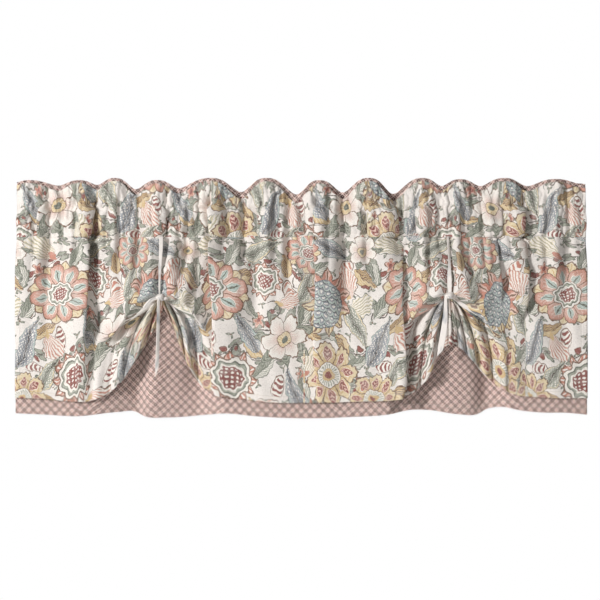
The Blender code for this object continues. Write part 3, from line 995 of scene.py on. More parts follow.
def apart(tree, place):
    """A place's two numbers and the tone that it carries."""
    node = tree.nodes.new("ShaderNodeSeparateXYZ")
    tree.links.new(place, node.inputs[0])
    return [Number(tree, socket) for socket in node.outputs]


# Where a motif lies in the repeat: its middle, half its length and width, in mm, its turn in
# degrees anticlockwise, and its tone between its two colourings.
Spot = namedtuple("Spot", "across up length width turn tone")


class Painting:
    """Printed cloth, drawn on from its ground up."""

    def __init__(self, tree, place, inks):
        self.tree = tree
        self.place = place
        self.inks = inks
        self.colour = tuple(inks.ground)

    def ink(self, colour):
        return tuple(getattr(self.inks, colour)) if isinstance(colour, str) else colour

    def lay(self, where, colour):
        """Lays an ink, named or mixed by nodes, over the painting where the number is 1."""
        self.colour = blend(self.tree, where, self.colour, self.ink(colour))

    def layer(self, number, *inks, within=None):
        """Lays inks one over another, each where the number is below the limit given with it."""
        for limit, colour in inks:
            inside = number < limit
            self.lay(inside if within is None else inside & within, colour)

    def between(self, tone, first, second):
        """One ink where the tone is 0 and another where it is 1."""
        return blend(self.tree, tone, self.ink(first), self.ink(second))

    def nearest(self, spots):
        """(x, y, tone, covered) in whichever of the spots lies here, with x and y from -1 to 1."""
        tree = self.tree
        half = (REPEAT[0] / 2, REPEAT[1] / 2, 1.0)
        chosen = None
        for spot in spots:
            away = vector_step(tree, "SUBTRACT", self.place, (spot.across, spot.up, 0.0))
            away = vector_step(tree, "WRAP", away, half, tuple(-side for side in half))
            turned = tree.nodes.new("ShaderNodeMapping")
            turned.vector_type = "TEXTURE"
            tree.links.new(away, turned.inputs["Vector"])
            turned.inputs["Location"].default_value = (0.0, 0.0, -spot.tone)
            turned.inputs["Rotation"].default_value = (0.0, 0.0, math.radians(spot.turn))
            turned.inputs["Scale"].default_value = (spot.length, spot.width, 1.0)
            here = turned.outputs[0]
            if chosen is None:
                chosen = here
                continue
            reach = vector_step(tree, "DISTANCE", here, (0.0, 0.0, spot.tone))
            inside = Number(tree, reach) < 1.0
            pick = tree.nodes.new("ShaderNodeMix")
            pick.data_type = "VECTOR"
            tree.links.new(inside.socket, pick.inputs[0])
            tree.links.new(chosen, pick.inputs[4])
            tree.links.new(here, pick.inputs[5])
            chosen = pick.outputs[1]
        x, y, tone = apart(tree, chosen)
        return x, y, tone, x.hypotenuse(y) < 1.0


def shade(red, green, blue):
    """A colour for a node, from its screen values of 0 to 255."""
    linear = []
    for value in (red, green, blue):
        value = value / 255.0
        linear.append(value / 12.92 if value <= 0.04045 else ((value + 0.055) / 1.055) ** 2.4)
    return (*linear, 1.0)


LOTUSES = (Spot(86, 226, 66, 62, 12, 0), Spot(262, 300, 48, 44, -30, 0))
BLOOMS = (Spot(322, 84, 64, 60, 8, 0), Spot(12, 46, 48, 46, 40, 0))
BLOSSOMS = (Spot(218, 150, 60, 56, 20, 0), Spot(392, 302, 40, 38, 0, 0))
ROSETTES = (Spot(118, 78, 52, 50, 0, 0), Spot(182, 250, 34, 34, 30, 0))
ARTICHOKES = (Spot(312, 208, 60, 62, -14, 0),)
PAISLEYS = (
    Spot(24, 142, 46, 22, 74, 0),
    Spot(176, 306, 44, 21, 30, 1),
    Spot(240, 52, 48, 22, 118, 0),
    Spot(380, 168, 42, 20, -58, 1),
    Spot(148, 158, 40, 20, 130, 0),
    Spot(330, 300, 40, 20, -20, 0),
    Spot(62, 88, 36, 17, 60, 1),
    Spot(132, 10, 38, 18, 12, 0),
    Spot(262, 240, 36, 17, 70, 1),
)
PLUMES = (
    Spot(180, 26, 40, 26, -24, 0),
    Spot(268, 106, 34, 24, 60, 1),
    Spot(366, 236, 34, 24, 96, 0),
    Spot(50, 306, 38, 26, 150, 1),
    Spot(66, 138, 32, 22, -60, 0),
    Spot(384, 200, 32, 22, 30, 1),
    Spot(224, 212, 28, 20, 10, 0),
)
LEAVES = (
    Spot(148, 204, 29, 14, -50, 0),
    Spot(56, 164, 26, 12, 20, 1),
    Spot(258, 198, 27, 13, 80, 0),
    Spot(282, 152, 26, 12, -20, 1),
    Spot(180, 98, 29, 14, 40, 0),
    Spot(66, 36, 28, 13, -30, 1),
    Spot(290, 26, 29, 14, 14, 0),
    Spot(366, 22, 26, 12, 60, 1),
    Spot(120, 294, 29, 14, 70, 0),
    Spot(222, 276, 24, 11, 100, 1),
    Spot(300, 262, 27, 13, 30, 0),
    Spot(350, 140, 24, 11, 130, 1),
    Spot(8, 268, 31, 14, 110, 0),
    Spot(382, 108, 27, 13, 20, 0),
    Spot(160, 128, 26, 12, -30, 1),
    Spot(30, 210, 31, 15, 60, 0),
    Spot(150, 256, 28, 13, 20, 1),
    Spot(200, 8, 29, 14, -10, 0),
    Spot(256, 66, 27, 13, 100, 0),
    Spot(396, 250, 26, 12, -40, 1),
)
PODS = (
    Spot(230, 222, 26, 12, -64, 0),
    Spot(84, 150, 22, 11, 100, 1),
    Spot(360, 268, 24, 12, 40, 0),
    Spot(206, 68, 22, 11, 70, 1),
    Spot(272, 8, 22, 11, 150, 0),
    Spot(34, 98, 20, 10, -10, 1),
)
CURLS = (
    Spot(130, 128, 19, 19, 0, 0),
    Spot(196, 196, 20, 20, 120, 0),
    Spot(284, 170, 16, 16, 60, 0),
    Spot(26, 190, 20, 20, 200, 0),
    Spot(218, 14, 19, 19, 80, 0),
    Spot(380, 62, 20, 20, 300, 0),
    Spot(318, 330, 17, 17, 20, 0),
    Spot(92, 6, 19, 19, 140, 0),
    Spot(246, 252, 17, 17, 250, 0),
)
BUDS = (
    Spot(42, 268, 14, 14, 10, 0),
    Spot(152, 276, 13, 13, 50, 1),
    Spot(268, 230, 13, 13, 0, 1),
    Spot(170, 180, 14, 14, 30, 0),
    Spot(150, 22, 15, 15, 15, 1),
    Spot(250, 86, 12, 12, 30, 0),
    Spot(346, 20, 14, 14, 0, 0),
    Spot(66, 78, 12, 12, 0, 1),
    Spot(288, 128, 11, 11, 0, 0),
)


def draw_sprigs(painting):
    """Small three-leaved sprigs that fill the ground between the motifs, in two colours."""
    across, up, _ = apart(painting.tree, painting.place)
    level = (up / (REPEAT[1] / 12.0)).step("FLOOR")
    x = (across + level * 17.0).wrapped(REPEAT[0] / 13.0)
    y = up - (level + 0.5) * (REPEAT[1] / 12.0)
    reach = x.hypotenuse(y)
    leaf = (y.step("ARCTAN2", x) + level).folded(math.pi / 3.0)
    edge = leaf * -8.0 + 8.2
    painting.layer(reach, (edge, "dark_sage"), (edge * 0.7, "sage"), (1.3, "brown"))


def draw_vines(painting):
    """Thin stems that wander across the repeat, with small buds and leaves on both sides."""
    across, up, _ = apart(painting.tree, painting.place)
    turn = 2.0 * math.pi / REPEAT[0]
    for level, sway, shift in (
        (34.0, 26.0, 0.4),
        (96.0, 22.0, 3.3),
        (146.0, 30.0, 2.4),
        (206.0, 20.0, 0.9),
        (262.0, 24.0, 4.2),
        (312.0, 18.0, 5.4),
    ):
        line = across.wave(turn, shift) * sway + across.wave(3.0 * turn, shift * 2.0) * 9.0
        away = (up - line - level).wrapped(REPEAT[1])
        side = abs(away)
        step = (across + away * 0.6).wrapped(40.0)
        bud = ((step + 8.0) / 6.0).hypotenuse((side - 8.0) / 5.5)
        if sway > 22.0:
            painting.lay(bud < 1.0, "brown")
            painting.lay(bud < 0.8, "wine" if level > 100.0 else "coral")
        leaf = ((step - 9.0) / 10.0).hypotenuse((side - 5.0) / 4.0)
        painting.layer(leaf, (1.0, "dark_sage"), (0.7, "sage"))
        painting.lay(side < 0.7, "ink")


def draw_curls(painting):
    """Tendrils that wind in to a wine-red bud."""
    x, y, _, covered = painting.nearest(CURLS)
    reach = x.hypotenuse(y)
    turns = y.step("ARCTAN2", x) / (2.0 * math.pi)
    wind = (turns - reach.step("LOGARITHM", math.e) * 0.62).wrapped(1.0)
    line = abs(wind) * reach
    painting.lay((line < 0.034) & (reach > 0.12) & covered, "ink")
    painting.lay(reach < 0.17, "wine")


def leaf_width(x, power):
    """Half a leaf's width along it, from foot to tip. It is widest further out where power is high."""
    span = x.times_plus(0.5, 0.5).step("MAXIMUM", 0.0) ** power
    return (span * math.pi).step("SINE").step("MAXIMUM", 0.001)


def draw_leaves(painting):
    """Pointed leaves, sage or ochre by their tone, hatched dark on one side and pale on the other."""
    x, y, tone, _ = painting.nearest(LEAVES)
    bend = y - x * x * 0.26
    width = leaf_width(x, 0.75)
    across = abs(bend) / (width * ((x * 17.0).wave(1.0) * 0.05 + 0.93))
    dark = painting.between(tone, "dark_sage", "brown")
    painting.lay(across < 1.0, dark)
    painting.lay(across < 0.87, painting.between(tone, "sage", "ochre"))
    veins = (x - abs(bend) * 1.1).wave(24.0)
    painting.lay((veins > 0.1) & (across < 0.8) & (bend > 0.0), dark)
    pale = painting.between(tone, "light", "pale_ochre")
    painting.lay((veins > 0.2) & (across < 0.8) & (bend < 0.0), pale)
    painting.lay((abs(bend) < 0.055) & (across < 0.9), dark)


def draw_paisleys(painting):
    """Blue-grey leaves with a curled tip, a spine of small chevrons and a speckled edge."""
    x, y, tone, _ = painting.nearest(PAISLEYS)
    bend = y + (x * x * x) * 0.42 - 0.08
    width = leaf_width(x, 0.62) * 0.88
    across = abs(bend) / width
    painting.lay(across < 1.0, "dark_slate")
    painting.lay(across < 0.92, painting.between(tone, "teal", "pale_ochre"))
    painting.lay(across < 0.8, painting.between(tone, "slate", "sage"))
    speckle = x.wave(40.0) * (bend * 26.0 + x * 6.0).wave(1.0)
    painting.lay((speckle > 0.3) & (across < 0.76), "light")
    chevrons = (x * 24.0 - abs(bend) * 26.0).wave(1.0)
    spine = painting.between(tone, "dark_slate", "dark_sage")
    painting.lay((abs(chevrons) > 0.55) & (across < 0.36), spine)
    painting.lay((abs(bend) < 0.03) & (across < 0.8), "ink")


def draw_plumes(painting):
    """Curling plumes, striped from their foot out, coral or sage by their tone."""
    x, y, tone, _ = painting.nearest(PLUMES)
    width = leaf_width(x, 1.5)
    scallop = (x * 16.0).wave(1.0) * 0.08 + 0.9
    bend = y - x * x * 0.2
    across = abs(bend) / (width * scallop)
    painting.lay(across < 1.0, painting.between(tone, "brown", "dark_sage"))
    painting.lay(across < 0.93, "light")
    stripes = (bend.step("ARCTAN2", x + 1.2) + x * x * 0.1).wave(46.0)
    body = painting.between(tone, "pale_coral", "pale_ochre")
    painting.lay((stripes > -0.2) & (across < 0.88), body)
    painting.lay((stripes > 0.75) & (across < 0.84), painting.between(tone, "coral", "sage"))
    eye = ((x + 0.62) / 0.3).hypotenuse(bend / 0.2)
    painting.lay((eye < 1.0) & (across < 0.9), painting.between(tone, "ochre", "coral"))


def draw_pods(painting):
    """Striped seed pods, coral or wine by their tone."""
    x, y, tone, _ = painting.nearest(PODS)
    across = x.hypotenuse(y) + x * 0.14
    painting.layer(across, (0.98, "brown"), (0.86, "light"))
    stripes = (x * 15.0 - y * y * 5.0).wave(1.0) > 0.0
    painting.lay(stripes & (across < 0.78), painting.between(tone, "coral", "wine"))


def draw_buds(painting):
    """Small filler blossoms of five petals."""
    x, y, tone, _ = painting.nearest(BUDS)
    reach = x.hypotenuse(y)
    petal = y.step("ARCTAN2", x).folded(math.pi / 5.0)
    edge = (petal * petal) * -1.35 + 0.92
    painting.lay(reach < edge, "brown")
    painting.lay(reach < edge * 0.86, painting.between(tone, "pale_coral", "light"))
    painting.lay(reach < edge * 0.62, painting.between(tone, "coral", "sage"))
    painting.lay(reach < 0.26, "wine")


def draw_heart(painting, x, y, angle, reach, size):
    """A scalloped ring, cream with a sage band, round wine-red berries dotted with white."""
    ring = reach / (angle.wave(9.0) * 0.07 + 1.0)
    painting.layer(
        ring,
        (size, "brown"),
        (size * 0.94, "light"),
        (size * 0.8, "dark_sage"),
        (size * 0.74, "sage"),
        (size * 0.64, "light"),
        (size * 0.52, "wine"),
    )
    dot = x.wrapped(size * 0.2).hypotenuse(y.wrapped(size * 0.2))
    painting.lay((dot < size * 0.058) & (ring < size * 0.46), "light")


def draw_lotuses(painting):
    """Big coral flowers: veined petals with a teal leaf in each, over ochre ones, and a heart."""
    x, y, _, _ = painting.nearest(LOTUSES)
    angle = y.step("ARCTAN2", x)
    reach = x.hypotenuse(y) / (angle.wave(2.0, 0.6) * 0.05 + 0.95)
    behind = (angle + math.pi / 8.0).folded(math.pi / 8.0)
    under = reach / ((behind ** 1.4) * -1.15 + 0.98)
    painting.layer(under, (1.0, "brown"), (0.95, "pale_ochre"))
    painting.lay((behind.wave(50.0) > 0.4) & (under < 0.9), "ochre")
    petal = angle.folded(math.pi / 8.0)
    share = reach / ((petal ** 2.0) * -1.75 + 0.93)
    painting.layer(share, (1.0, "brown"), (0.955, "pale_coral"))
    painting.lay(((share - 0.4) * 1.5).limited() & (share < 0.955), "coral")
    painting.lay((petal.wave(58.0) > 0.3) & (share < 0.86), "pale_coral")
    painting.lay((petal > 0.372) & (share < 1.0), "brown")
    swell = ((reach - 0.36) * (math.pi / 0.4)).step("SINE").step("MAXIMUM", 0.001)
    inner = (petal * reach) / swell
    leaf = (reach > 0.36) & (reach < 0.76)
    inks = ((0.13, "light"), (0.1, "sage"), (0.082, "teal"), (0.02, "dark_sage"))
    painting.layer(inner, *inks, within=leaf)
    draw_heart(painting, x, y, angle, reach, 0.4)


def draw_blooms(painting):
    """Big ochre flowers: eight petals, pale at the tips, with a veined wine teardrop in each."""
    x, y, _, _ = painting.nearest(BLOOMS)
    reach = x.hypotenuse(y)
    angle = y.step("ARCTAN2", x)
    petal = angle.folded(math.pi / 8.0)
    share = reach / ((petal ** 2.2) * -1.9 + 0.96 + angle.wave(40.0) * 0.02)
    painting.layer(share, (1.0, "brown"), (0.955, "ochre"))
    painting.lay(((share - 0.3) * 1.4).limited() & (share < 0.955), "pale_ochre")
    hatch = (reach * 56.0 + petal * 20.0).wave(1.0) > 0.35
    painting.lay(hatch & (share < 0.9) & (petal > 0.15), "ochre")
    painting.lay((petal > 0.37) & (share < 1.0), "brown")
    swell = ((reach - 0.36) * (math.pi / 0.48)).step("SINE").step("MAXIMUM", 0.001)
    inner = (petal * reach) / swell
    drop = (reach > 0.36) & (reach < 0.84)
    painting.layer(inner, (0.15, "light"), (0.13, "coral"), (0.105, "wine"), within=drop)
    veins = (reach * 46.0 - petal * 34.0).wave(1.0) > 0.3
    painting.lay(veins & (inner < 0.085) & drop, "pale_coral")
    painting.layer(reach, (0.36, "brown"), (0.34, "light"))
    painting.lay((angle.wave(22.0) > 0.2) & (reach < 0.31), "sage")
    painting.layer(reach, (0.17, "ochre"), (0.1, "wine"))


def draw_blossoms(painting):
    """Cream blossoms of six blushing petals over a ring of hatched sage leaves."""
    x, y, _, _ = painting.nearest(BLOSSOMS)
    reach = x.hypotenuse(y)
    angle = y.step("ARCTAN2", x)
    leaf = angle.folded(math.pi / 7.0)
    under = reach / (leaf * -1.3 + 1.0)
    painting.layer(under, (1.0, "dark_sage"), (0.94, "sage"))
    hatch = (reach * 52.0 + leaf * 34.0).wave(1.0) > 0.1
    painting.lay(hatch & (under < 0.9), "dark_sage")
    petal = (angle + 0.3).folded(math.pi / 6.0)
    share = reach / ((petal ** 2.0) * -0.85 + 0.72 + angle.wave(30.0) * 0.014)
    painting.layer(share, (1.0, "brown"), (0.95, "light"))
    painting.lay((share * -1.3 + 1.1).limited() & (share < 0.95), "coral")
    painting.lay((petal.wave(54.0) > 0.5) & (share < 0.84), "light")
    painting.lay((petal > 0.5) & (share < 1.0), "brown")
    painting.layer(reach, (0.24, "brown"), (0.215, "pale_ochre"))
    painting.lay((angle.wave(14.0) > 0.1) & (reach < 0.2), "ochre")
    painting.lay(reach < 0.1, "dark_sage")


def draw_rosettes(painting):
    """Round berry heads in a scalloped ring with a fringe of coral and ochre tips."""
    x, y, _, _ = painting.nearest(ROSETTES)
    reach = x.hypotenuse(y)
    angle = y.step("ARCTAN2", x)
    tip = angle.folded(math.pi / 12.0)
    fringe = reach / (tip * -1.0 + 1.0)
    painting.layer(fringe, (1.0, "brown"), (0.93, "pale_coral"))
    painting.lay((tip < 0.11) & (fringe < 0.93), "coral")
    painting.lay((tip < 0.03) & (fringe < 0.9), "light")
    draw_heart(painting, x, y, angle, reach, 0.74)


def draw_artichokes(painting):
    """Blue-grey heads covered in scales, with a crown of coral blades and ochre points below."""
    x, y, _, _ = painting.nearest(ARTICHOKES)
    reach = x.hypotenuse(y)
    blade = y.step("ARCTAN2", x).folded(math.pi / 11.0)
    crown = reach / (blade * -1.1 + 1.0)
    upper = y > -0.05
    painting.layer(crown, (1.0, "brown"), (0.94, "pale_ochre"))
    painting.lay((blade > 0.1) & (crown < 0.94), "ochre")
    painting.lay((crown < 0.94) & upper, "pale_coral")
    painting.lay((crown < 0.94) & (blade > 0.1) & upper, "coral")
    painting.lay((blade < 0.03) & (crown < 0.9), "brown")
    body = (x / 0.6).hypotenuse((y + 0.05) / 0.66)
    painting.layer(body, (1.0, "dark_slate"), (0.96, "slate"))
    rows = y * 6.5
    level = rows.step("FLOOR")
    across = (x * 5.0 + level * 0.5).wrapped(1.0)
    scale = (across * 1.5).hypotenuse(rows - level - 1.0)
    painting.lay((scale < 0.86) & (body < 0.96), "teal")
    painting.lay((scale < 0.62) & (body < 0.96), "slate")
    painting.lay((scale < 0.3) & (body < 0.96), "light")
    painting.lay((abs(scale - 0.92) < 0.09) & (body < 0.96), "dark_slate")


MOTIFS = (
    draw_sprigs,
    draw_vines,
    draw_curls,
    draw_buds,
    draw_pods,
    draw_leaves,
    draw_plumes,
    draw_paisleys,
    draw_rosettes,
    draw_blossoms,
    draw_artichokes,
    draw_blooms,
    draw_lotuses,
)


def floral_colour(tree, place, inks):
    """The floral print's colour: the motifs laid over its cream ground, smaller ones first."""
    painting = Painting(tree, place, inks)
    for draw in MOTIFS:
        draw(painting)
    painting.lay((noise(tree, place, 0.055, 2.0) - 0.5) * 1.1, "light")
    painting.lay((noise(tree, place, 0.8, 1.0) - 0.5) * 2.0, "light")
    painting.lay((noise(tree, place, 0.6, 2.0) - 0.56) * 2.4, "brown")
    return painting.colour


def cloth_place(tree, wobble):
    """The place on the flat cloth in mm, with x across and y up, made uneven as by hand."""
    flat = tree.nodes.new("ShaderNodeUVMap")
    flat.uv_map = "Cloth"
    place = vector_step(tree, "MULTIPLY", flat.outputs[0], (1000.0, -1000.0, 0.0))
    if not wobble:
        return place
    uneven = tree.nodes.new("ShaderNodeTexNoise")
    uneven.inputs["Scale"].default_value = 0.02
    uneven.inputs["Detail"].default_value = 4.0
    uneven.inputs["Roughness"].default_value = 0.62
    tree.links.new(place, uneven.inputs["Vector"])
    off = vector_step(tree, "SUBTRACT", uneven.outputs["Color"], (0.5, 0.5, 0.5))
    off = vector_step(tree, "MULTIPLY", off, (wobble, wobble, 0.0))
    return vector_step(tree, "ADD", place, off)


def dyed(distance, reach):
    """1 within reach and 0 beyond it, with the soft edge of dye that has spread in the cloth."""
    return ((distance * -1.0 + reach) / LATTICE_BLEED + 0.5).limited()


def lattice_colour(tree, place, inks):
    """The lattice print: dark rings between slanting pale lines, and short bars between the lines."""
    painting = Painting(tree, place, inks)
    painting.colour = tuple(inks.rose)
    across, up, _ = apart(tree, place)
    slant = LATTICE_STEP * math.sqrt(2.0)
    first = abs(((across + up) / slant).wrapped(1.0))
    second = abs(((across - up) / slant).wrapped(1.0))
    edge = first.step("MAXIMUM", second)
    inner = first.step("MINIMUM", second)
    painting.lay(dyed(edge * -1.0 + 0.5, 0.07) & dyed(inner, 0.2), "dark_rose")
    painting.lay(dyed(edge, 0.28), "dark_rose")
    painting.lay(dyed(edge, 0.08), "pale_rose")
    painting.lay(dyed(abs(first - 0.335), 0.05), "pale_rose")
    painting.lay(dyed(abs(second - 0.335), 0.05), "pale_rose")
    return painting.colour


# ---------------------------------------------------------------- materials
FLORAL = "Floral print cotton"
LATTICE = "Lattice print cotton"
WRONG_SIDE = ", wrong side"


def new_material(name):
    """(material, node tree, cloth shader) with the shader joined to the output."""
    material = bpy.data.materials.new(name)
    material.use_nodes = True
    tree = material.node_tree
    shader = next(node for node in tree.nodes if node.type == "BSDF_PRINCIPLED")
    shader.inputs["Roughness"].default_value = 0.9
    shader.inputs["Specular IOR Level"].default_value = 0.22
    shader.inputs["Sheen Weight"].default_value = 0.12
    shader.inputs["Sheen Roughness"].default_value = 0.6
    return material, tree, shader


def noise(tree, place, scale, detail):
    node = tree.nodes.new("ShaderNodeTexNoise")
    node.inputs["Scale"].default_value = scale
    node.inputs["Detail"].default_value = detail
    tree.links.new(place, node.inputs["Vector"])
    return Number(tree, node.outputs["Fac"])


def add_fibres(tree, shader, colour, strength):
    """Uneven dye and stray fibres over the colour."""
    place = cloth_place(tree, 0.0)
    blotches = noise(tree, place, 0.35, 3.0)
    threads = noise(tree, vector_step(tree, "MULTIPLY", place, (0.4, 2.2, 1.0)), 1.0, 2.0)
    dye = (blotches * 0.6 + threads * 0.4 - 0.5) * strength
    spread = tree.nodes.new("ShaderNodeHueSaturation")
    fill(tree, spread.inputs["Value"], dye + 1.0)
    fill(tree, spread.inputs["Color"], colour)
    tree.links.new(spread.outputs[0], shader.inputs["Base Color"])


def add_weave(tree, shader, hemmed):
    """Relief of the plain weave, of small creases and of the turned hems."""
    place = cloth_place(tree, 0.0)
    across, down, _ = apart(tree, place)
    turns = 2.0 * math.pi / THREAD_PITCH
    height = (across.wave(turns) * down.wave(turns)) * WEAVE_RELIEF
    creases = noise(tree, place, 0.045, 4.0)
    height = height + creases * CREASE_RELIEF
    if hemmed:
        edge = tree.nodes.new("ShaderNodeUVMap")
        edge.uv_map = "Edge"
        from_side, from_hem, _ = apart(tree, edge.outputs[0])
        turned = (from_hem / (HEM_TURN * MM)).step("MINIMUM", from_side / (SIDE_TURN * MM))
        step = tree.nodes.new("ShaderNodeMapRange")
        step.interpolation_type = "SMOOTHSTEP"
        fill(tree, step.inputs["Value"], turned)
        step.inputs["From Min"].default_value = 0.93
        step.inputs["From Max"].default_value = 1.05
        step.inputs["To Min"].default_value = HEM_EXTRA
        step.inputs["To Max"].default_value = 0.0
        height = height + Number(tree, step.outputs[0])
    relief = tree.nodes.new("ShaderNodeBump")
    relief.inputs["Distance"].default_value = MM
    relief.inputs["Strength"].default_value = 0.9
    fill(tree, relief.inputs["Height"], height)
    tree.links.new(relief.outputs[0], shader.inputs["Normal"])


def floral_cloth(inks):
    material, tree, shader = new_material(FLORAL)
    place = vector_step(tree, "DIVIDE", cloth_place(tree, 26.0), (PRINT_SIZE, PRINT_SIZE, 1.0))
    colour = floral_colour(tree, place, inks)
    add_fibres(tree, shader, colour, 0.5)
    add_weave(tree, shader, True)
    return material


def floral_reverse(inks):
    """The wrong side of the floral print, where the dyes only shadow through."""
    material, tree, shader = new_material(FLORAL + WRONG_SIDE)
    place = cloth_place(tree, 0.0)
    first = noise(tree, place, 0.022, 2.0) > 0.56
    colour = blend(tree, first * 0.3, tuple(inks.ground), tuple(inks.sage))
    second = noise(tree, vector_step(tree, "ADD", place, (300.0, 90.0, 0.0)), 0.02, 2.0) > 0.56
    colour = blend(tree, second * 0.3, colour, tuple(inks.coral))
    add_fibres(tree, shader, colour, 0.3)
    add_weave(tree, shader, True)
    return material


def tie_cloth(inks):
    """The floral print's ground, from which the ties are cut, with a faint streak of slate."""
    material, tree, shader = new_material("Tie cotton")
    place = cloth_place(tree, 2.4)
    streaks = noise(tree, vector_step(tree, "MULTIPLY", place, (1.6, 0.4, 1.0)), 0.05, 2.0)
    colour = blend(tree, (streaks - 0.55) * 6.0, tuple(inks.ground), tuple(inks.slate))
    add_fibres(tree, shader, colour, 0.3)
    add_weave(tree, shader, False)
    return material


def lattice_cloth(inks, wrong_side=False):
    material, tree, shader = new_material(LATTICE + WRONG_SIDE if wrong_side else LATTICE)
    colour = lattice_colour(tree, cloth_place(tree, 3.0), inks)
    if wrong_side:
        faded = cloth_place(tree, 0.0)
        share = noise(tree, faded, 0.5, 1.0) * 0.1 + 0.72
        colour = blend(tree, share, colour, tuple(inks.ground))
    add_fibres(tree, shader, colour, 0.3)
    add_weave(tree, shader, True)
    return material


def thread_finish(colour):
    """Cotton sewing thread with its twist."""
    material, tree, shader = new_material("Sewing thread")
    place = tree.nodes.new("ShaderNodeTexCoord").outputs["Object"]
    twist = noise(tree, place, 900.0, 1.0)
    spread = tree.nodes.new("ShaderNodeHueSaturation")
    fill(tree, spread.inputs["Value"], twist * 0.4 + 0.8)
    spread.inputs["Color"].default_value = colour
    tree.links.new(spread.outputs[0], shader.inputs["Base Color"])
    return material


def plain_finish(name, colour, roughness):
    material, _, shader = new_material(name)
    shader.inputs["Base Color"].default_value = colour
    shader.inputs["Roughness"].default_value = roughness
    shader.inputs["Sheen Weight"].default_value = 0.0
    return material


# ---------------------------------------------------------------- ties
class Shape:
    """Collects tubes into one mesh with its UV map "Cloth" in metres."""

    def __init__(self):
        self.points = []
        self.faces = []
        self.places = []

    def add_rings(self, rings, across, up):
        """A closed tube through rings of points; across and up place its cloth on the print."""
        rings = np.asarray(rings, float)
        count, sides = rings.shape[:2]
        base = len(self.points)
        ends = (base + count * sides, base + count * sides + 1)
        self.points.extend(rings.reshape(-1, 3).tolist())
        self.points.append(rings[0].mean(axis=0).tolist())
        self.points.append(rings[-1].mean(axis=0).tolist())
        round_steps = np.linalg.norm(np.roll(rings, -1, axis=1) - rings, axis=2).mean(axis=0)
        around = np.concatenate(((0.0,), np.cumsum(round_steps)))
        along = lengths_along(rings.mean(axis=1))
        for row in range(count - 1):
            for side in range(sides):
                after = (side + 1) % sides
                corners = ((row, side, side), (row, after, side + 1), (row + 1, after, side + 1))
                corners = (*corners, (row + 1, side, side))
                self.faces.append([base + r * sides + s for r, s, _ in corners])
                self.places.extend((across + around[u], -up + along[r]) for r, _, u in corners)
        for end, row in zip(ends, (0, count - 1)):
            for side in range(sides):
                after = (side + 1) % sides
                pair = (base + row * sides + after, base + row * sides + side)
                face = [end, *(pair if row == 0 else pair[::-1])]
                self.faces.append(face)
                self.places.extend([(across, -up + along[row])] * 3)

    def mesh(self, name):
        mesh = bpy.data.meshes.new(name)
        mesh.from_pydata((np.array(self.points) * MM).tolist(), [], self.faces)
        layer = mesh.uv_layers.new(name="Cloth")
        layer.data.foreach_set("uv", (np.array(self.places) * MM).ravel())
        mesh.shade_smooth()
        return mesh


def folded_strip(path, widths, turns, depth=1.9, sides=16):
    """Rings of a strip folded flat along a path, of changing width, turned about the path by degrees."""
    path = np.asarray(path, float)
    tangents = np.gradient(path, axis=0)
    tangents = tangents / np.linalg.norm(tangents, axis=1)[:, None]
    rings = []
    for point, tangent, width, turn in zip(path, tangents, widths, turns):
        side = np.cross(tangent, (0.0, -1.0, 0.0))
        side = side / max(np.linalg.norm(side), 1e-6)
        front = np.cross(side, tangent)
        angle = math.radians(turn)
        across = math.cos(angle) * side + math.sin(angle) * front
        outward = math.cos(angle) * front - math.sin(angle) * side
        around = circle(sides)
        flat = np.sign(np.cos(around)) * np.abs(np.cos(around)) ** 0.7
        crown = np.sign(np.sin(around)) * np.abs(np.sin(around)) ** 0.6
        groove = 1.0 - 0.35 * bell(flat, 0.22)
        ring = point + np.outer(flat * 0.5 * width, across)
        rings.append(ring + np.outer(crown * groove * 0.5 * depth, outward))
    return rings


def through(knots, count):
    """A smooth path through a few points, with count points."""
    knots = np.asarray(knots, float)
    along = lengths_along(knots)
    places = np.linspace(0.0, along[-1], count)
    return np.stack([curve_through(along, knots[:, axis], places) for axis in range(3)], axis=1)


def along_path(count, *values):
    """Values spread evenly over a path's points, in straight steps between them."""
    return np.interp(np.linspace(0.0, 1.0, count), np.linspace(0.0, 1.0, len(values)), values)


def strap_rings(tie):
    """The tie's strap, from the seam down over the ballooned cloth to its knot."""
    count = 48
    z = np.linspace(SEAM + 1.0, tie.z, count)
    x = tie.x + 0.8 * np.sin(np.linspace(0.0, 5.0, count))
    reach = 0.4 * max(tie.strap_widths)
    fronts = [hang(x + side * reach, z) for side in (-1.0, -0.5, 0.0, 0.5, 1.0)]
    front = np.min(fronts, axis=0) - CLOTH - 1.5
    taut = np.linspace(front[0], KNOT_Y - 1.5, count)
    share = np.linspace(0.0, 1.0, count)
    drawn = ease((share - 0.85) / 0.15)
    y = np.minimum(front, taut) * (1.0 - drawn) + taut * drawn
    widths = along_path(count, *tie.strap_widths)
    turns = along_path(count, *tie.strap_turns)
    return folded_strip(np.stack((x, y, z), axis=1), widths, turns)


def tail_rings(tie):
    """The tie's free end, with its slanted point."""
    count = 40
    x, y, z = tie.x + 0.35 * tie.tail_drift, KNOT_Y - 0.5, tie.z - 2.0
    drop = tie.z - tie.tail_foot
    path = through(
        (
            (x, y, z),
            (x + 0.05 * tie.tail_drift, y - 2.0, z - 0.3 * drop),
            (x + 0.28 * tie.tail_drift, y + 0.5, z - 0.66 * drop),
            (x + 0.65 * tie.tail_drift, y + 4.0, tie.tail_foot),
        ),
        count,
    )
    widths = along_path(count, *tie.tail_widths)
    widths[-5:] = widths[-5:] * np.array((0.86, 0.66, 0.44, 0.24, 0.08))
    rings = folded_strip(path, widths, along_path(count, *tie.tail_turns))
    slant = np.linspace(0.0, 0.25 * max(tie.tail_widths), 5)
    for ring, shift in zip(rings[-5:], slant):
        ring[:, 0] -= shift
    return rings


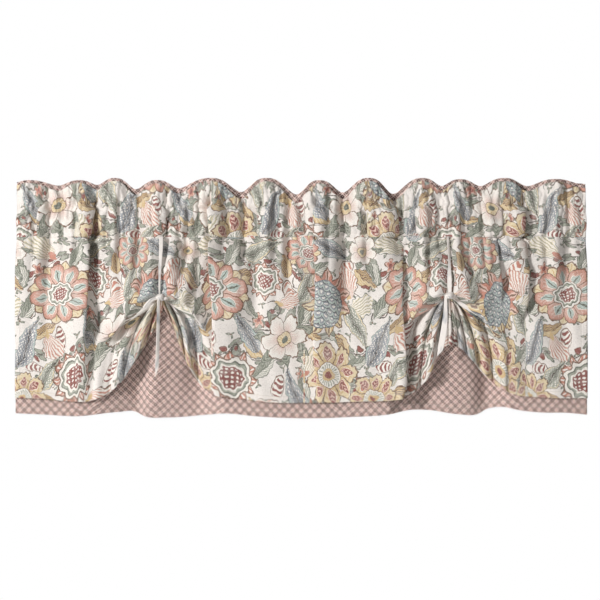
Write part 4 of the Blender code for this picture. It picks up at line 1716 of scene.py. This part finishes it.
def band_rings(middle, radii, tilt, width, sides=12):
    """A band wrapped once round a middle point, in a plane tilted by degrees from level."""
    angles = np.linspace(0.0, 2.0 * math.pi, 44)
    lean = math.radians(tilt)
    rings = []
    for angle in angles:
        flat = np.array((math.cos(angle) * radii[0], -math.sin(angle) * radii[1], 0.0))
        outward = flat / np.linalg.norm(flat)
        axis = np.array((-math.sin(lean), 0.0, math.cos(lean)))
        flat = np.array((flat[0] * math.cos(lean), flat[1], flat[0] * math.sin(lean)))
        outward = np.array((outward[0] * math.cos(lean), outward[1], outward[0] * math.sin(lean)))
        around = circle(sides)
        swell = 1.0 + 0.12 * math.sin(3.0 * angle)
        ring = middle + flat + np.outer(np.cos(around) * 0.5 * width * swell, axis)
        rings.append(ring + np.outer(np.sin(around) * 1.1, outward))
    return rings


# The folded ends of strip that stand out beside each knot: their middle from the knot's, and
# their size across, deep and high.
KNOT_EARS = {
    "left": (((-10.5, 0.5, 1.5), (15.0, 10.0, 10.0)), ((9.0, 1.0, -2.5), (12.0, 9.0, 8.0))),
    "right": (((-7.0, 1.0, 2.0), (9.0, 8.0, 8.0)), ((7.5, 1.0, -1.0), (10.0, 9.0, 9.0))),
}


def ear_rings(middle, size):
    """Rings of a plump folded end, lying across, with a groove along its front."""
    rings = []
    for place in np.linspace(-1.0, 1.0, 14):
        around = circle(LUMP_SIDES)
        swell = math.sqrt(max(1.0 - place * place, 0.03))
        groove = 1.0 - 0.3 * bell(around - 0.5 * math.pi, 0.35)
        deep = -0.5 * size[1] * swell * groove * np.sin(around)
        high = 0.5 * size[2] * swell * groove * np.cos(around)
        across = np.full(LUMP_SIDES, 0.5 * size[0] * place)
        rings.append(middle + np.column_stack((across, deep, high + 0.12 * across)))
    return rings


def add_knot(shape, tie):
    """The knot: a lump of folded cloth held by bands that cross over it."""
    middle = np.array((tie.x, KNOT_Y, tie.z - 1.0))
    across, deep, high = (0.5 * size for size in KNOT_SIZE)
    count = 18
    heights = np.linspace(-1.0, 1.0, count)
    rings = []
    for height in heights:
        around = circle(LUMP_SIDES)
        swell = math.sqrt(max(1.0 - height * height, 0.02)) * (1.0 + 0.08 * np.sin(5.0 * around))
        ring = np.stack((across * swell * np.cos(around), -deep * swell * np.sin(around)), axis=1)
        rings.append(middle + np.column_stack((ring, np.full(LUMP_SIDES, high * height))))
    shape.add_rings(rings, *TIE_PRINT)
    for sideways, size in KNOT_EARS[tie.side]:
        shape.add_rings(ear_rings(middle + np.array(sideways), size), *TIE_PRINT)
    for tilt, width, lift in ((28.0, 5.0, 1.5), (-34.0, 4.4, -1.5), (4.0, 3.4, 0.0)):
        centre = middle + np.array((0.0, 0.0, lift))
        rings = band_rings(centre, (across * 0.98, deep * 0.98), tilt, width)
        shape.add_rings(rings, TIE_PRINT[0] + tilt, TIE_PRINT[1])


def add_loop(shape, tie):
    """The short loop that hangs from the left knot, with its hollow end showing."""
    count = 22
    start = np.array((tie.x - 3.0, KNOT_Y - 0.5, tie.z - 3.0))
    path = through(
        (start, start + (-11.0, -2.5, -2.5), start + (-20.0, -2.5, -11.0), start + (-26.0, -1.0, -19.0)),
        count,
    )
    widths = along_path(count, 0.5, 0.9, 1.05, 1.1) * LOOP_WIDTH
    turns = along_path(count, 10.0, 24.0, 30.0)
    outer = folded_strip(path, widths, turns, depth=5.0, sides=20)
    inner = folded_strip(path, widths - 2.0, turns, depth=3.0, sides=20)
    rings = outer + inner[: count // 3 : -1]
    shape.add_rings(rings, TIE_PRINT[0] + 40.0, TIE_PRINT[1])


def tie_mesh(tie):
    shape = Shape()
    shape.add_rings(strap_rings(tie), *TIE_PRINT)
    shape.add_rings(tail_rings(tie), TIE_PRINT[0] + 18.0, TIE_PRINT[1] + 60.0)
    add_knot(shape, tie)
    if tie.side == "left":
        add_loop(shape, tie)
    return shape.mesh("tie_" + tie.side)


# ---------------------------------------------------------------- stitches
def even_steps(line, pitch):
    """Points at an even pitch along a line, and the line's direction at each."""
    along = lengths_along(line)
    places = np.arange(0.5 * pitch, along[-1], pitch)
    directions = read_along(line, along, places + 0.5) - read_along(line, along, places - 0.5)
    return read_along(line, along, places), directions / np.linalg.norm(directions, axis=1)[:, None]


def stitch_mesh(name, line, length, pitch, radius=0.32):
    """A mesh of the single stitches along a line."""
    rises = ((-1.0, 0.35), (-0.72, 1.0), (0.72, 1.0), (1.0, 0.35))
    sides = 6
    around = circle(sides)
    points = []
    faces = []
    for middle, direction in zip(*even_steps(line, pitch)):
        base = len(points)
        up = np.array((0.0, 0.0, 1.0)) - direction * direction[2]
        up = up / np.linalg.norm(up)
        front = np.cross(up, direction)
        for share, thick in rises:
            ring = middle + direction * (share * 0.5 * length)
            ring = ring + np.outer(np.cos(around) * radius * thick, up)
            ring = ring + np.outer(np.sin(around) * radius * thick, front)
            points.extend(ring.tolist())
        for row in range(len(rises) - 1):
            for side in range(sides):
                after = (side + 1) % sides
                corners = (row * sides + side, row * sides + after)
                corners = (*corners, (row + 1) * sides + after, (row + 1) * sides + side)
                faces.append([base + corner for corner in corners])
        faces.append([base + side for side in reversed(range(sides))])
        faces.append([base + (len(rises) - 1) * sides + side for side in range(sides)])
    mesh = bpy.data.meshes.new(name)
    mesh.from_pydata((np.array(points) * MM).tolist(), [], faces)
    mesh.shade_smooth()
    return mesh


def above_hem(points, height, forward):
    """The line along a sheet at a height up from its hem, and a little in front of it."""
    down = lengths_along(points)
    line = []
    for number in range(points.shape[1]):
        place = down[-1, number] - height
        line.append(read_along(points[:, number], down[:, number], place))
    line = np.array(line)
    line[:, 1] -= forward
    return line


# ---------------------------------------------------------------- settings
def dye(name, description, screen):
    """A colour setting, with its default from screen values of 0 to 255."""
    return bpy.props.FloatVectorProperty(
        name=name,
        description=description,
        subtype="COLOR",
        size=4,
        min=0.0,
        max=1.0,
        default=shade(*screen),
    )


def length(name, description, millimetres):
    """A length setting in metres, with its default in millimetres."""
    return bpy.props.FloatProperty(
        name=name,
        description=description,
        unit="LENGTH",
        subtype="DISTANCE",
        min=0.0,
        default=millimetres * MM,
    )


class ValancePrint(bpy.types.PropertyGroup):
    """Colours of the two prints."""

    ground: dye("Ground", "Cream ground of the floral print", (229, 222, 216))
    light: dye("Light", "Undyed outlines and dots", (233, 227, 219))
    coral: dye("Coral", "Petals of the biggest flowers", (188, 126, 108))
    pale_coral: dye("Pale coral", "Blush of the petals", (216, 182, 168))
    wine: dye("Wine red", "Berries and teardrops", (136, 76, 70))
    ochre: dye("Ochre", "Ochre flowers and leaves", (203, 175, 130))
    pale_ochre: dye("Pale ochre", "Light parts of the ochre flowers", (221, 205, 171))
    brown: dye("Brown", "Outlines of flowers", (116, 86, 68))
    sage: dye("Sage", "Light parts of leaves", (156, 159, 145))
    dark_sage: dye("Dark sage", "Leaves", (100, 105, 94))
    teal: dye("Pale teal", "Inner leaves of the petals", (182, 195, 188))
    slate: dye("Slate", "Blue-grey leaves and bulbs", (146, 150, 156))
    dark_slate: dye("Dark slate", "Midribs and edges of the slate leaves", (98, 102, 108))
    ink: dye("Ink", "Stems and fine outlines", (78, 68, 62))
    rose: dye("Rose", "Ground of the lattice print", (166, 112, 102))
    pale_rose: dye("Pale rose", "Lines of the lattice print", (250, 234, 224))
    dark_rose: dye("Dark rose", "Rings and bars of the lattice print", (72, 29, 26))


class ValanceSewing(bpy.types.PropertyGroup):
    """Sizes of the cloth and its stitches."""

    thickness: length("Cloth thickness", "Thickness of each cloth", CLOTH)
    stitch_length: length("Stitch length", "Length of one stitch", STITCH_LENGTH)
    stitch_pitch: length("Stitch pitch", "From one stitch to the next", STITCH_PITCH)
    thread: dye("Thread", "Colour of the sewing thread", (226, 214, 200))


class ValanceStage(bpy.types.PropertyGroup):
    """The plain studio round the valance."""

    floor_drop: length("Floor drop", "From the rod's line down to the floor", 1300.0)
    key_power: bpy.props.FloatProperty(
        name="Key light", description="Power of the soft light", unit="POWER", min=0.0, default=216.0
    )
    surround: bpy.props.FloatProperty(
        name="Surround", description="Strength of the even light all round", min=0.0, default=0.2
    )
    backdrop: dye("Backdrop", "Colour behind the valance", (255, 255, 255))


# ---------------------------------------------------------------- operators
Looks = namedtuple("Looks", "slot right_side wrong_side")


def floral_looks(inks):
    """The floral print's two materials, made once."""
    made = bpy.data.materials
    if FLORAL in made:
        return Looks("floral_print", made[FLORAL], made[FLORAL + WRONG_SIDE])
    return Looks("floral_print", floral_cloth(inks), floral_reverse(inks))


def lattice_looks(inks):
    """The lattice print's two materials, made once."""
    made = bpy.data.materials
    if LATTICE in made:
        return Looks("lattice_print", made[LATTICE], made[LATTICE + WRONG_SIDE])
    return Looks("lattice_print", lattice_cloth(inks), lattice_cloth(inks, wrong_side=True))


def put_sheet(name, points, reading_row, looks, thickness, print_offset=(0.0, 0.0), laid="from_top"):
    """Makes one cloth as a thickened sheet. Returns it and its flat width and length in metres.

    laid: how its print lies, "from_top" or "from_foot" along the sheet, or "pleated" in the fans.
    """
    flat = flat_places(points, reading_row)
    near, far = pleated_places(points, flat) if laid == "pleated" else (flat[:, :-1], flat[:, 1:])
    shift = np.array((print_offset[0], -print_offset[1]))
    if laid == "from_foot":
        lengths = flat[-1, :, 1]
        level = np.stack((np.zeros_like(lengths), np.median(lengths) - lengths), axis=1)
        near = near + level[:-1]
        far = far + level[1:]
    mesh = grid_mesh(name, points, near + shift, far + shift, edge_places(flat))
    piece = add_piece(name, mesh, (looks.right_side, looks.wrong_side))
    thicken(piece, thickness, looks.slot == "floral_print")
    return piece, (flat[0, -1, 0] * MM, float(np.median(flat[-1, :, 1])) * MM)


class VALANCE_OT_heading(bpy.types.Operator):
    """Sews the gathered heading: printed cloth in front, lattice-print cloth behind"""

    bl_idname = "valance.heading"
    bl_label = "Heading"
    bl_options = {"REGISTER", "UNDO"}

    def execute(self, context):
        inks = context.scene.valance_print
        front_points = heading_points(back=False)
        back_points = heading_points(back=True)
        thickness = context.scene.valance_sewing.thickness
        front, front_flat = put_sheet(
            "printed_heading",
            front_points,
            HEADING_READING,
            floral_looks(inks),
            thickness,
            HEADING_PRINT,
            laid="from_foot",
        )
        lattice = lattice_looks(inks)
        back, back_flat = put_sheet(
            "lattice_heading",
            back_points,
            HEADING_READING,
            lattice._replace(wrong_side=lattice.right_side),
            thickness,
            laid="from_foot",
        )
        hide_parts("heading_front")
        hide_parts("heading_back")
        return {"FINISHED"}


class VALANCE_OT_face(bpy.types.Operator):
    """Hangs the printed face, caught up at its two ties"""

    bl_idname = "valance.face"
    bl_label = "Face"
    bl_options = {"REGISTER", "UNDO"}

    def execute(self, context):
        looks = floral_looks(context.scene.valance_print)
        thickness = context.scene.valance_sewing.thickness
        face, flat = put_sheet(
            "printed_face", lay_face(), FACE_READING, looks, thickness, FACE_PRINT, laid="pleated"
        )
        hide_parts("face_panel")
        return {"FINISHED"}


class VALANCE_OT_underlay(bpy.types.Operator):
    """Hangs the lattice-print underlay behind the face"""

    bl_idname = "valance.underlay"
    bl_label = "Underlay"
    bl_options = {"REGISTER", "UNDO"}

    def execute(self, context):
        looks = lattice_looks(context.scene.valance_print)
        thickness = context.scene.valance_sewing.thickness
        underlay, flat = put_sheet("lattice_underlay", lay_underlay(), UNDERLAY_READING, looks, thickness)
        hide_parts("underlay")
        return {"FINISHED"}


class VALANCE_OT_ties(bpy.types.Operator):
    """Knots the two ties, each with its strap and free end"""

    bl_idname = "valance.ties"
    bl_label = "Ties"
    bl_options = {"REGISTER", "UNDO"}

    def execute(self, context):
        cloth = tie_cloth(context.scene.valance_print)
        for tie in TIES:
            piece = add_piece("printed_tie_" + tie.side, tie_mesh(tie), (cloth,))
            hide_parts("tie_" + tie.side)
        return {"FINISHED"}


class VALANCE_OT_stitches(bpy.types.Operator):
    """Sews the row of stitches over the rod pocket and those of the hems"""

    bl_idname = "valance.stitches"
    bl_label = "Stitches"
    bl_options = {"REGISTER", "UNDO"}

    def execute(self, context):
        sewing = context.scene.valance_sewing
        thread = thread_finish(sewing.thread)
        stitch = sewing.stitch_length / MM
        pitch = sewing.stitch_pitch / MM
        heading = heading_points(back=False)
        forward = CLOTH + STITCH_LIFT
        pocket_line = heading[HEADING_ROWS // 2 - 1].copy()
        pocket_line[:, 1] -= forward
        face_hem = above_hem(lay_face(), HEM_TURN - STITCH_INSET, forward)
        underlay_hem = above_hem(lay_underlay(), HEM_TURN - STITCH_INSET, UNDERLAY_STITCH_LIFT)
        rows = (
            ("pocket_stitches", pocket_line, "floral_print"),
            ("face_hem_stitches", face_hem, "floral_print"),
            ("underlay_hem_stitches", underlay_hem, "lattice_print"),
        )
        for name, line, slot in rows:
            add_piece(name, stitch_mesh(name, line, stitch, pitch), (thread,))
        return {"FINISHED"}


class VALANCE_OT_stage(bpy.types.Operator):
    """Sets the pale floor, the soft studio light and the camera"""

    bl_idname = "valance.stage"
    bl_label = "Stage"
    bl_options = {"REGISTER", "UNDO"}

    def execute(self, context):
        stage = context.scene.valance_stage
        add_floor(stage)
        add_surround(context.scene, stage)
        for lamp in LAMPS:
            add_light(lamp, stage.key_power * lamp.share)
        add_camera(context.scene)
        return {"FINISHED"}


STEPS = (
    VALANCE_OT_heading,
    VALANCE_OT_face,
    VALANCE_OT_underlay,
    VALANCE_OT_ties,
    VALANCE_OT_stitches,
    VALANCE_OT_stage,
)


# ---------------------------------------------------------------- stage
AIM = (-0.0029, 0.0, -0.2355)  # the middle of the photograph's frame, in metres
CAMERA_AWAY = 3.2
FRAME_WIDTH = 1.158  # what the photograph's frame spans at the valance, in metres
SENSOR = 36.0
FLOOR_RADIUS = 2.5
FLOOR_COLOUR = (0.86, 0.86, 0.85, 1.0)

# The soft lights: where each stands and how wide it is, in metres, and its share of the key's power.
Lamp = namedtuple("Lamp", "name place size share")
LAMPS = (
    Lamp("Key", (-3.4, -3.4, 0.95), 1.1, 1.0),
    Lamp("Fill", (0.5, -2.6, -1.1), 1.3, 0.05),
    Lamp("Back light", (2.2, 3.0, 0.9), 1.3, 0.5),
)


def add_floor(stage):
    mesh = bpy.data.meshes.new("floor")
    shape = bmesh.new()
    bmesh.ops.create_circle(shape, cap_ends=True, segments=64, radius=FLOOR_RADIUS)
    shape.to_mesh(mesh)
    shape.free()
    floor = bpy.data.objects.new("floor", mesh)
    floor.location = (0.0, 0.0, -stage.floor_drop)
    bpy.context.scene.collection.objects.link(floor)
    mesh.materials.append(plain_finish("Studio floor", FLOOR_COLOUR, 0.8))


def add_surround(scene, stage):
    """Even light all round, with the backdrop's colour where the camera looks past the valance."""
    world = bpy.data.worlds.new("Studio")
    scene.world = world
    world.use_nodes = True
    tree = world.node_tree
    light = tree.nodes["Background"]
    light.inputs["Color"].default_value = (1.0, 0.99, 0.98, 1.0)
    light.inputs["Strength"].default_value = stage.surround
    behind = tree.nodes.new("ShaderNodeBackground")
    behind.inputs["Color"].default_value = stage.backdrop
    behind.inputs["Strength"].default_value = 1.0
    ray = tree.nodes.new("ShaderNodeLightPath")
    pick = tree.nodes.new("ShaderNodeMixShader")
    output = next(node for node in tree.nodes if node.type == "OUTPUT_WORLD")
    tree.links.new(ray.outputs["Is Camera Ray"], pick.inputs[0])
    tree.links.new(light.outputs[0], pick.inputs[1])
    tree.links.new(behind.outputs[0], pick.inputs[2])
    tree.links.new(pick.outputs[0], output.inputs["Surface"])


def add_light(lamp, power):
    light = bpy.data.lights.new(lamp.name, "AREA")
    light.shape = "DISK"
    light.size = lamp.size
    light.energy = power
    stand = bpy.data.objects.new(lamp.name, light)
    stand.location = lamp.place
    stand.rotation_euler = (Vector(AIM) - stand.location).to_track_quat("-Z", "Y").to_euler()
    bpy.context.scene.collection.objects.link(stand)


def add_camera(scene):
    """A level camera square to the rod, far enough off to see it as flat as the photograph does."""
    lens = bpy.data.cameras.new("Camera")
    lens.sensor_width = SENSOR
    lens.lens = SENSOR * CAMERA_AWAY / FRAME_WIDTH
    camera = bpy.data.objects.new("Camera", lens)
    camera.location = (AIM[0], AIM[1] - CAMERA_AWAY, AIM[2])
    camera.rotation_euler = (math.radians(90.0), 0.0, 0.0)
    scene.collection.objects.link(camera)
    scene.camera = camera
    scene.view_settings.view_transform = "Standard"


# ---------------------------------------------------------------- panel and registration
class VALANCE_PT_panel(bpy.types.Panel):
    """Lists the steps and their settings"""

    bl_idname = "VALANCE_PT_panel"
    bl_label = "Window Valance"
    bl_space_type = "VIEW_3D"
    bl_region_type = "UI"
    bl_category = "Valance"

    def draw(self, context):
        layout = self.layout
        for step in STEPS:
            layout.operator(step.bl_idname)
        groups = (
            ("Print colours", context.scene.valance_print),
            ("Sewing", context.scene.valance_sewing),
            ("Stage", context.scene.valance_stage),
        )
        for title, group in groups:
            box = layout.box()
            box.label(text=title)
            for name in group.bl_rna.properties.keys():
                if name not in ("rna_type", "name"):
                    box.prop(group, name)


CLASSES = (ValancePrint, ValanceSewing, ValanceStage, *STEPS, VALANCE_PT_panel)


def register():
    for item in CLASSES:
        bpy.utils.register_class(item)
    bpy.types.Scene.valance_print = bpy.props.PointerProperty(type=ValancePrint)
    bpy.types.Scene.valance_sewing = bpy.props.PointerProperty(type=ValanceSewing)
    bpy.types.Scene.valance_stage = bpy.props.PointerProperty(type=ValanceStage)


def unregister():
    del bpy.types.Scene.valance_print
    del bpy.types.Scene.valance_sewing
    del bpy.types.Scene.valance_stage
    for item in reversed(CLASSES):
        bpy.utils.unregister_class(item)


def main():
    register()
    bpy.ops.valance.heading()
    bpy.ops.valance.face()
    bpy.ops.valance.underlay()
    bpy.ops.valance.ties()
    bpy.ops.valance.stitches()
    bpy.ops.valance.stage()


if __name__ == "__main__":
    main()
